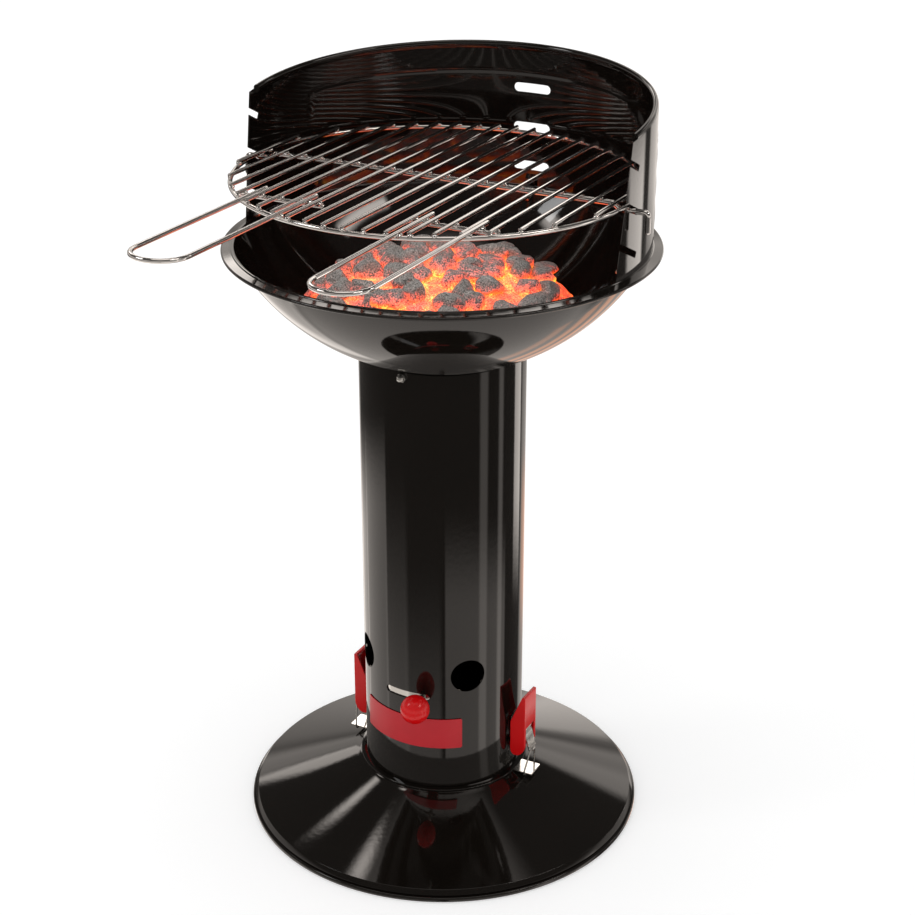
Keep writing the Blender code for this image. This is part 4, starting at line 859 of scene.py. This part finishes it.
def gridWire(name, shapes, nodes):
    points, faces = gather(shapes)
    makePiece(name, (onGrid(points), faces), chrome, "grid", nodes)


def buildGrid():
    radius, ringY, ringZ = grid["ringRadius"], grid["ringY"], grid["ringZ"]
    barY, rodZ, dipZ = grid["barY"], grid["rodZ"], grid["dipZ"]
    angle = np.linspace(0, math.tau, 180, endpoint=False)
    ring = np.stack([radius * np.cos(angle), ringY + radius * np.sin(angle), np.full(180, ringZ)], 1)
    gridWire("gridRing", [tube(ring, (0, 0, 1), grid["wire"], 18, True)], ["grid_ring"])

    rods, crossings = [], []   # a crossing is (x, y, size of its weld)
    for number in range(grid["count"]):
        x = (number - (grid["count"] - 1) / 2) * grid["pitch"]
        reach = math.sqrt(radius ** 2 - x ** 2)
        y = np.linspace(ringY - reach - grid["over"], ringY + reach + grid["over"], 14)
        sway = 0.0002 * math.sin(number * 2.3) * np.sin(y * 9)
        rods.append(tube(np.stack([np.full(14, x), y, rodZ + sway], 1), (1, 0, 0), grid["rodRadius"], 14))
        crossings += [(x, ringY - reach, 1.0), (x, ringY + reach, 1.0), (x, barY, 1.0)]
        if grid["shortIn"] < abs(x) < grid["shortOut"]:
            crossings.append((x, grid["shortY"], 1.35))
    gridWire("gridRods", rods, [f"grid_rod_{number:02d}" for number in range(grid["count"])])

    half = [(grid["dipIn"], grid["barZ"]), (grid["dipIn"] + grid["dipLong"], dipZ), (grid["hookX"], dipZ),
            (grid["hookX"], grid["hookZ"])]
    corners = [(-x, barY, z) for x, z in reversed(half)] + [(x, barY, z) for x, z in half]
    crossbar = tube(roundedPath(corners, grid["barCorner"]), (0, 1, 0), grid["barWire"], 18)
    gridWire("gridCrossbar", [crossbar], ["grid_crossbar"])

    for side, sign in (("right", 1), ("left", -1)):
        x = np.linspace(grid["shortIn"], grid["shortOut"], 8)
        bar = np.stack([sign * x, np.full(8, grid["shortY"]), np.full(8, ringZ)], 1)
        gridWire("gridShortBar_" + side, [tube(bar, (0, 0, 1), grid["wire"], 16)], ["grid_short_bar_" + side])
        z = ringZ + 2 * grid["wire"] + grill["gap"]
        legs, rear, front = (grid["handleIn"], grid["handleOut"]), grid["handleRear"], grid["handleFront"]
        corners = [(sign * legs[0], rear, z), (sign * legs[0], front, z),
                   (sign * legs[1], front, z), (sign * legs[1], rear, z)]
        loop = tube(roundedPath(corners, grid["handleCorner"], 0.003), (0, 0, 1), grid["wire"], 18)
        gridWire("gridHandle_" + side, [loop], ["grid_handle_" + side])
        for legX in legs:
            crossings.append((sign * legX, grid["shortY"], 1.6))
            crossings.append((sign * legX, ringY - math.sqrt(radius ** 2 - legX ** 2), 1.45))
    return crossings


def buildWelds(crossings):
    # each spot weld is a small squashed bead between two wires: an ellipsoid with a wavy skin
    rng = np.random.default_rng(4)
    rows, cols = 7, 10
    u = np.linspace(0, math.pi, rows)[:, None]
    v = np.linspace(0, math.tau, cols, endpoint=False)[None, :]
    z = grid["rodZ"] - grid["rodRadius"]
    beads = []
    for x, y, share in crossings:
        size = np.array([0.0029, 0.0029, 0.0021]) * rng.uniform(0.85, 1.2, 3) * share
        wave = 1 + 0.12 * np.sin(3 * v + rng.uniform(0, 6)) * np.sin(u)
        across = np.sin(u) * wave
        shape = np.stack([across * np.cos(v), across * np.sin(v), np.cos(u) * np.ones_like(v)], -1) * size
        spot = (x + rng.uniform(-0.0004, 0.0004), y + rng.uniform(-0.0004, 0.0004), z)
        beads.append(((shape + spot).reshape(-1, 3), gridFaces(rows, cols, False, True)))
    gridWire("gridWelds", beads, ())


buildWelds(buildGrid())
print("cooking grid built")


# Charcoal
coal = {"radius": 0.150, "edgeRise": 0.0060, "heap": 0.0530, "power": 3, "pitch": 0.0310, "halfLong": 0.0200,
        "halfWide": 0.0140, "rise": 0.0130, "flats": 13, "underRadius": 0.140,
        "underZ": (0.6050, 0.5885, 0.5880, 0.5880, 0.5880, 0.5880)}
coal["edgeZ"] = (grill["bowlCentre"] + coal["edgeRise"]
                 - math.sqrt((grill["bowlRadius"] - grill["bowlWall"]) ** 2 - coal["radius"] ** 2))


def heapHeight(radius):
    return coal["edgeZ"] + coal["heap"] * (1 - (radius / coal["radius"]) ** coal["power"])


def coalLumps():
    # centre, direction, half sizes and height share of each lump, on a loose lattice
    lumps = []
    for row in range(-6, 7):
        for column in range(-6, 7):
            seed = 12.9898 * row + 78.233 * column
            x = (column + (row % 2) / 2 + 0.26 * math.sin(seed)) * coal["pitch"]
            y = (row * 0.84 + 0.24 * math.sin(2.3 * seed + 1.0)) * coal["pitch"]
            if math.hypot(x, y) <= coal["radius"] - 0.0180:
                direction = math.pi * math.sin(1.7 * seed + 0.5)
                halfLong = coal["halfLong"] * (1 + 0.16 * math.sin(3.1 * seed))
                halfWide = coal["halfWide"] * (1 + 0.14 * math.sin(4.7 * seed))
                lumps.append((x, y, direction, halfLong, halfWide, 1 + 0.30 * math.sin(5.3 * seed)))
    return lumps


def lumpNoise(points, phase):
    # smooth pseudo-noise: three crossed sine waves with different directions
    a = np.sin(points @ np.array([1.9, 0.7, 1.1]) * 1.0 + phase[0])
    b = np.sin(points @ np.array([-0.8, 2.1, 0.6]) * 1.3 + phase[1])
    c = np.sin(points @ np.array([0.5, -1.1, 2.3]) * 1.7 + phase[2])
    return (a + b + c) / 3


def buildLumps():
    # broken lumps: a sphere cut back to a few random planes, so that the edges stay sharp, then stretched
    rng = np.random.default_rng(11)
    rows, cols = 30, 44
    u = np.linspace(0, math.pi, rows)[:, None]
    v = np.linspace(0, math.tau, cols, endpoint=False)[None, :]
    sphere = np.stack([np.sin(u) * np.cos(v), np.sin(u) * np.sin(v), np.cos(u) * np.ones_like(v)], -1)
    sphere = sphere.reshape(-1, 3)
    shapes, heats = [], []
    for x, y, direction, halfLong, halfWide, share in coalLumps():
        radius = math.hypot(x, y)
        size = np.array([halfLong, halfWide, coal["rise"] * share])
        phase = rng.uniform(0, math.tau, 6)
        flats = rng.normal(size=(coal["flats"], 3))
        flats /= np.linalg.norm(flats, axis=1, keepdims=True)
        reach = rng.uniform(0.66, 0.92, coal["flats"])
        toward = sphere @ flats.T
        skin = np.min(np.where(toward > 0.05, reach / np.maximum(toward, 0.05), 9.0), axis=1)
        skin = (np.minimum(skin, 1.06) + 0.03 * lumpNoise(sphere * 2.2, phase[:3])
                + 0.018 * lumpNoise(sphere * 7.0, phase[3:]))
        turn = (Matrix.Rotation(direction, 3, "Z") @ Matrix.Rotation(rng.uniform(-0.22, 0.22), 3, "X")
                @ Matrix.Rotation(rng.uniform(-0.18, 0.18), 3, "Y"))
        local = (sphere * skin[:, None] * size) @ np.array(turn).T
        shapes.append((local + (x, y, heapHeight(radius) + 0.0008), gridFaces(rows, cols, False, True)))
        # the glow fades from the gaps below to the ash on top, and each lump is a little warmer or cooler
        warm = rng.uniform(-0.16, 0.20) + 0.08 * (1 - radius / coal["radius"])
        heats.append(0.52 - 0.62 * local[:, 2] / size[2] + warm + 0.16 * lumpNoise(sphere * 3.1, phase[:3]))
    makePiece("charcoalLumps", gather(shapes), coalSkin, "stand", (), 32,
              heat=np.clip(np.concatenate(heats), 0, 1.3))
    print("lumps of charcoal:", len(shapes))


def buildEmbers():
    # embers below the lumps: a dome of (radius, angle) with small waves, closed by a flat underside
    rows, cols = 60, 160
    turn = np.linspace(0, math.tau, cols, endpoint=False)
    r, a = np.meshgrid(np.linspace(1e-4, coal["radius"], rows), turn, indexing="ij")
    x, y = r * np.cos(a), r * np.sin(a)
    wave = np.sin(190 * x + 3 * np.sin(70 * y)) * np.cos(170 * y + 2 * np.sin(90 * x))
    top = heapHeight(r) - 0.0010 + 0.0016 * wave
    top[-1] = coal["edgeZ"] - 0.0015
    below = len(coal["underZ"])
    underRadius = np.linspace(coal["underRadius"], 1e-4, below)[:, None]
    underZ = np.broadcast_to(np.array(coal["underZ"])[:, None], (below, cols))
    under = np.stack([underRadius * np.cos(turn), underRadius * np.sin(turn), underZ], -1)
    under[1:, :, :2] *= 0.8
    points = np.concatenate([np.stack([x, y, top], -1), under])
    heat = np.concatenate([0.76 - 0.30 * (r / coal["radius"]) ** 2 + 0.20 * wave, np.zeros((below, cols))])
    shape = (points.reshape(-1, 3), gridFaces(rows + below, cols, False, True))
    makePiece("charcoalEmbers", shape, emberSkin, "stand", ["charcoal_bed"], None, 3e-4,
              np.clip(heat.ravel(), 0, 1.2))


buildLumps()
buildEmbers()
print("charcoal built")


# Toggle clips
clip = {"half": 0.0150, "wall": 0.0020, "out": 0.1130, "roomTop": 0.1579, "notchHalf": 0.0110,
        "notchTop": 0.1172, "notchCorner": 0.0012, "tongueHalf": 0.0090, "tongueWall": 0.0012,
        "ribHigh": 0.00035, "ribPitch": 0.0021, "trunnion": 0.0016, "tonguePin": (0.1090, 0.1130),
        "curl": (0.1165, 0.0865), "curlRadius": 0.0024, "bailX": 0.1120, "bailRadius": 0.0010,
        "bailHalf": 0.0052, "knee": 0.82}
hoodSide = [(0.1126, 0.1604), (0.1092, 0.1604), (0.0948, 0.1260), (0.0945, 0.1240), (0.0945, 0.0880),
            (0.0951, 0.0857), (0.0960, 0.0838), (0.0975, 0.0822), (0.0995, 0.0812), (0.1020, 0.0810),
            (0.1045, 0.0815), (0.1070, 0.0829), (0.1090, 0.0848), (0.1107, 0.0873), (0.1120, 0.0900),
            (0.1127, 0.0925), (0.1130, 0.0950), (0.1130, 0.1596)]


def buildHood(side, sign):
    # the lever: its side outline as a prism, hollowed from the column's side and notched for the tongue
    flip = np.array([sign, 1.0])
    half, wall, face = clip["half"], clip["wall"], clip["out"] - clip["wall"]
    hood = makePiece("clipHood_" + side, prism(np.array(hoodSide) * flip, -half, half, "xzy"), redPlastic,
                     "lever_" + side, ["clip_hood_" + side], 30)
    room = [(face, clip["roomTop"]), (0.0745, clip["roomTop"]), (0.0745, 0.0700), (face, 0.0700)]
    reach, corner, top = clip["notchHalf"], clip["notchCorner"], clip["notchTop"] - clip["notchCorner"]
    opening = np.concatenate([[[-reach, 0.070], [reach, 0.070]],
                              circle(reach - corner, top, corner, 6, 0, math.pi / 2),
                              circle(corner - reach, top, corner, 6, math.pi / 2, math.pi / 2)])
    cutPiece(hood, [prism(np.array(room) * flip, wall - half, half - wall, "xzy")], 30)
    cutPiece(hood, [prism(opening, 0.1070 * sign, 0.1160 * sign, "yzx")], 30)
    addBevel(hood, 0.0006, 3, 35)


def buildClipTongue(side, sign):
    # ribbed strip from the trunnion in the hood to the curl that holds the bail
    flip = np.array([sign, 1.0])
    top, curl = np.array(clip["tonguePin"]), np.array(clip["curl"])
    ahead = (curl - top) / np.linalg.norm(curl - top)
    across = np.array([-ahead[1], ahead[0]])
    halfWall = clip["tongueWall"] / 2
    s = np.linspace(0, np.linalg.norm(curl - top) - 0.0016, 90)
    ribs = clip["ribHigh"] * np.maximum(0, np.sin(s * math.tau / clip["ribPitch"])) * (s > 0.006)
    front = top + ahead * s[:, None] + across * (halfWall + ribs[:, None])
    rear = top + ahead * s[::-1, None] - across * halfWall
    strip = prism(np.concatenate([front, rear]) * flip, -clip["tongueHalf"], clip["tongueHalf"], "xzy")
    pin = circle(sign * top[0], top[1], clip["trunnion"], 24)
    trunnion = prism(pin, 0.0002 - clip["half"], clip["half"] - 0.0002, "xzy")
    axis = np.stack([[sign * curl[0]] * 2, [-0.0032, 0.0032], [curl[1]] * 2], 1)
    rolled = tube(axis, (1, 0, 0), clip["curlRadius"], 28)
    makePiece("clipTongue_" + side, gather([strip, trunnion, rolled]), polishedSteel, "link_" + side,
              ["clip_tongue_" + side], 30)


def buildBail(side, sign):
    # closed wire loop from the curl down, round the ear and back
    curlX, curlZ = clip["curl"]
    x, knee, half = clip["bailX"], clip["knee"], clip["bailHalf"]
    low = grill["seatLow"] - grill["gap"] - clip["bailRadius"]
    wide = grill["earHalf"] + grill["gap"] + clip["bailRadius"]
    kneeX, kneeZ = curlX + (x - curlX) * knee, curlZ + (low - curlZ) * knee
    corners = [(sign * curlX, -half, curlZ), (sign * kneeX, -wide, kneeZ), (sign * x, -wide, low),
               (sign * x, wide, low), (sign * kneeX, wide, kneeZ), (sign * curlX, half, curlZ)]
    lean = np.cross((0, 1, 0), (sign * (x - curlX), 0, low - curlZ))
    wire = tube(roundedPath(corners, 0.0016, 0.0009, True), lean, clip["bailRadius"], 12, True)
    makePiece("clipBail_" + side, wire, satinSteel, "link_" + side, ["clip_bail_" + side])


for sideName, sideSign in (("right", 1), ("left", -1)):
    buildHood(sideName, sideSign)
    buildClipTongue(sideName, sideSign)
    buildBail(sideName, sideSign)
# small parts that keep their solid's shape and only get a material
carried = {"clip_pin_": satinSteel, "clip_bracket_": satinSteel, "clip_rivet_": satinSteel,
           "charcoal_grate": grateSteel, "screen_bolt_back": satinSteel}
for nodeName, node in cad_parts.items():
    for start, material in carried.items():
        if nodeName.startswith(start):
            node.data.materials.clear()
            node.data.materials.append(material)
print("clips built")


# Floor, surroundings, light and camera
studio = {"floorSize": 30.0, "floorZ": -0.0002, "lens": 76.8, "camera": (0.9195, -1.7590, 1.340),
          "cameraTilt": 65.487, "cameraTurn": 27.13, "roomTurn": -118.0}


def band(tree, source, low, high, soft):
    # 1 between low and high, falling to 0 over soft on each side
    rise = addNode(tree, "ShaderNodeMapRange",
                   {"interpolation_type": "SMOOTHSTEP", "From Min": low - soft, "From Max": low + soft},
                   {"Value": source})
    fall = addNode(tree, "ShaderNodeMapRange",
                   {"interpolation_type": "SMOOTHSTEP", "From Min": high - soft, "From Max": high + soft,
                    "To Min": 1.0, "To Max": 0.0}, {"Value": source})
    both = {0: rise.outputs[0], 1: fall.outputs[0]}
    return addNode(tree, "ShaderNodeMath", {"operation": "MULTIPLY"}, both).outputs[0]


def buildWorld():
    # the camera sees plain white; the gloss mirrors a dim room with a pale strip at eye level and lit panels
    world = bpy.data.worlds.new("studioRoom")
    bpy.context.scene.world = world
    world.use_nodes = True
    tree = world.node_tree
    tree.nodes.clear()
    where = addNode(tree, "ShaderNodeTexCoord").outputs["Generated"]
    # turned so that azimuth 0 is behind the grill, as the camera sees it
    turn = {"rotation_type": "Z_AXIS", "Angle": math.radians(studio["roomTurn"])}
    turned = addNode(tree, "ShaderNodeVectorRotate", turn, {"Vector": where})
    parts = addNode(tree, "ShaderNodeSeparateXYZ", {}, {"Vector": turned.outputs[0]})
    around = addNode(tree, "ShaderNodeMath", {"operation": "ARCTAN2"},
                     {0: parts.outputs["Y"], 1: parts.outputs["X"]}).outputs[0]
    height = addNode(tree, "ShaderNodeMath", {"operation": "ARCSINE"}, {0: parts.outputs["Z"]}).outputs[0]
    # each panel: middle azimuth, half width, lowest and highest elevation in degrees, softness, strength
    floorPanels = [
        (0, 180, -95, -45, 5, 0.75),
        (67, 25, -45, -24.6, 1.5, 0.85),
        (28, 16, -45, -25, 2, 1.00),
        (108, 18, -45, -28.5, 4, 0.65),
        (150, 26, -45, -31, 4, 0.60),
        (-130, 48, -45, -27.6, 1.5, 0.65),
    ]
    wallPanels = [
        (-122, 6, -40, 10, 2.5, 0.70),
        (-93, 4, -40, 10, 2.5, 0.80),
        (-54, 9, -27, -15, 2, 2.20),
        (-22, 14, -18, 10, 2, 0.90),
        (0, 180, -8, 14, 5, 0.50),
        (-10, 30, -45, -20, 4, 0.50),
        (-28, 22, 22, 30, 2, 1.30),
        (0, 9, 29, 34, 1.5, 3.00),
        (-2, 34, 15, 22, 2, 0.90),
        (13, 6, 20, 26, 1.5, 3.50),
        (0, 180, 68, 95, 5, 1.00),
    ]
    windows = [
        (25, 3, 22, 28, 1.0, 2.4),
        (37, 2, 48, 51, 1.5, 5.0),
        (40, 2, 63, 66, 1.5, 5.0),
        (-118, 22, 43, 48, 2.0, 8.0),
        (-68, 3, 25, 29, 1.5, 6.0),
        (97, 5, 38, 44, 2.0, 5.0),
    ]
    boards = [
        (-22, 16, -52, -48, 1.2, 0.9),
        (-20, 16, -44, -40, 1.2, 1.3),
        (-18, 18, -37, -33, 1.2, 1.3),
        (-16, 20, -29, -25, 1.2, 0.8),
    ]

    def sumPanels(panels, least):
        # brightness of a group of panels, added to the least brightness of the room
        total = None
        for middle, half, low, high, soft, power in panels:
            spot = band(tree, height, math.radians(low), math.radians(high), math.radians(soft))
            if half < 180:
                across = band(tree, around, math.radians(middle - half), math.radians(middle + half),
                              math.radians(soft))
                spot = addNode(tree, "ShaderNodeMath", {"operation": "MULTIPLY"},
                               {0: spot, 1: across}).outputs[0]
            spot = addNode(tree, "ShaderNodeMath", {"operation": "MULTIPLY", 1: power}, {0: spot}).outputs[0]
            if total is not None:
                spot = addNode(tree, "ShaderNodeMath", {"operation": "ADD"}, {0: total, 1: spot}).outputs[0]
            total = spot
        return addNode(tree, "ShaderNodeMath", {"operation": "ADD", 1: least}, {0: total}).outputs[0]

    pale = addNode(tree, "ShaderNodeBackground", {"Color": toLinear("#fff6ee")},
                   {"Strength": sumPanels(floorPanels + wallPanels + windows, 0.08)})
    wooden = addNode(tree, "ShaderNodeBackground", {"Color": toLinear("#d08048")},
                     {"Strength": sumPanels(boards, 0.0)})
    mirrored = addNode(tree, "ShaderNodeAddShader", {}, {0: pale.outputs[0], 1: wooden.outputs[0]})
    plain = addNode(tree, "ShaderNodeBackground", {"Color": toLinear("#ffffff"), "Strength": 0.9})
    white = addNode(tree, "ShaderNodeBackground", {"Color": toLinear("#ffffff"), "Strength": 1.0})
    path = addNode(tree, "ShaderNodeLightPath")
    unseen = addNode(tree, "ShaderNodeMixShader", {},
                     {0: path.outputs["Is Glossy Ray"], 1: plain.outputs[0], 2: mirrored.outputs[0]})
    room = addNode(tree, "ShaderNodeMixShader", {},
                   {0: path.outputs["Is Camera Ray"], 1: unseen.outputs[0], 2: white.outputs[0]})
    addNode(tree, "ShaderNodeOutputWorld", {}, {"Surface": room.outputs[0]})


def buildFloor():
    # pale studio floor, close to white, with the grill's shadow
    material = bpy.data.materials.new("paleStudioFloor")
    material.use_nodes = True
    tree = material.node_tree
    shader = tree.nodes["Principled BSDF"]
    shader.inputs["Base Color"].default_value = (0.96, 0.96, 0.96, 1)
    shader.inputs["Roughness"].default_value = 0.9
    shader.inputs["Specular IOR Level"].default_value = 0.0
    shader.inputs["Emission Color"].default_value = (1, 1, 1, 1)
    shader.inputs["Emission Strength"].default_value = 0.20
    half = studio["floorSize"] / 2
    mesh = bpy.data.meshes.new("studioFloor")
    corners = [(-half, -half, 0), (half, -half, 0), (half, half, 0), (-half, half, 0)]
    mesh.from_pydata(corners, [], [[0, 1, 2, 3]])
    mesh.materials.append(material)
    floor = linkObject("studioFloor", mesh)
    floor.location.z = studio["floorZ"]
    floor.visible_glossy = False


def addPanel(name, place, target, width, height, power):
    lamp = bpy.data.lights.new(name, "AREA")
    lamp.shape = "RECTANGLE"
    lamp.size = width
    lamp.size_y = height
    lamp.energy = power
    panel = linkObject(name, lamp)
    panel.location = place
    panel.rotation_euler = (Vector(target) - Vector(place)).to_track_quat("-Z", "Y").to_euler()


def buildCamera():
    lens = bpy.data.cameras.new("camera")
    lens.lens = studio["lens"]
    lens.sensor_width = 36.0
    lens.clip_start = 0.05
    camera = linkObject("camera", lens)
    camera.location = studio["camera"]
    camera.rotation_euler = (math.radians(studio["cameraTilt"]), 0, math.radians(studio["cameraTurn"]))
    bpy.context.scene.camera = camera


buildWorld()
buildFloor()
addPanel("keyPanel", (-1.6, -1.2, 2.2), (0, 0, 0.5), 0.45, 0.55, 4.0)
buildCamera()
bpy.context.scene.view_settings.view_transform = "Standard"
print("stage ready")
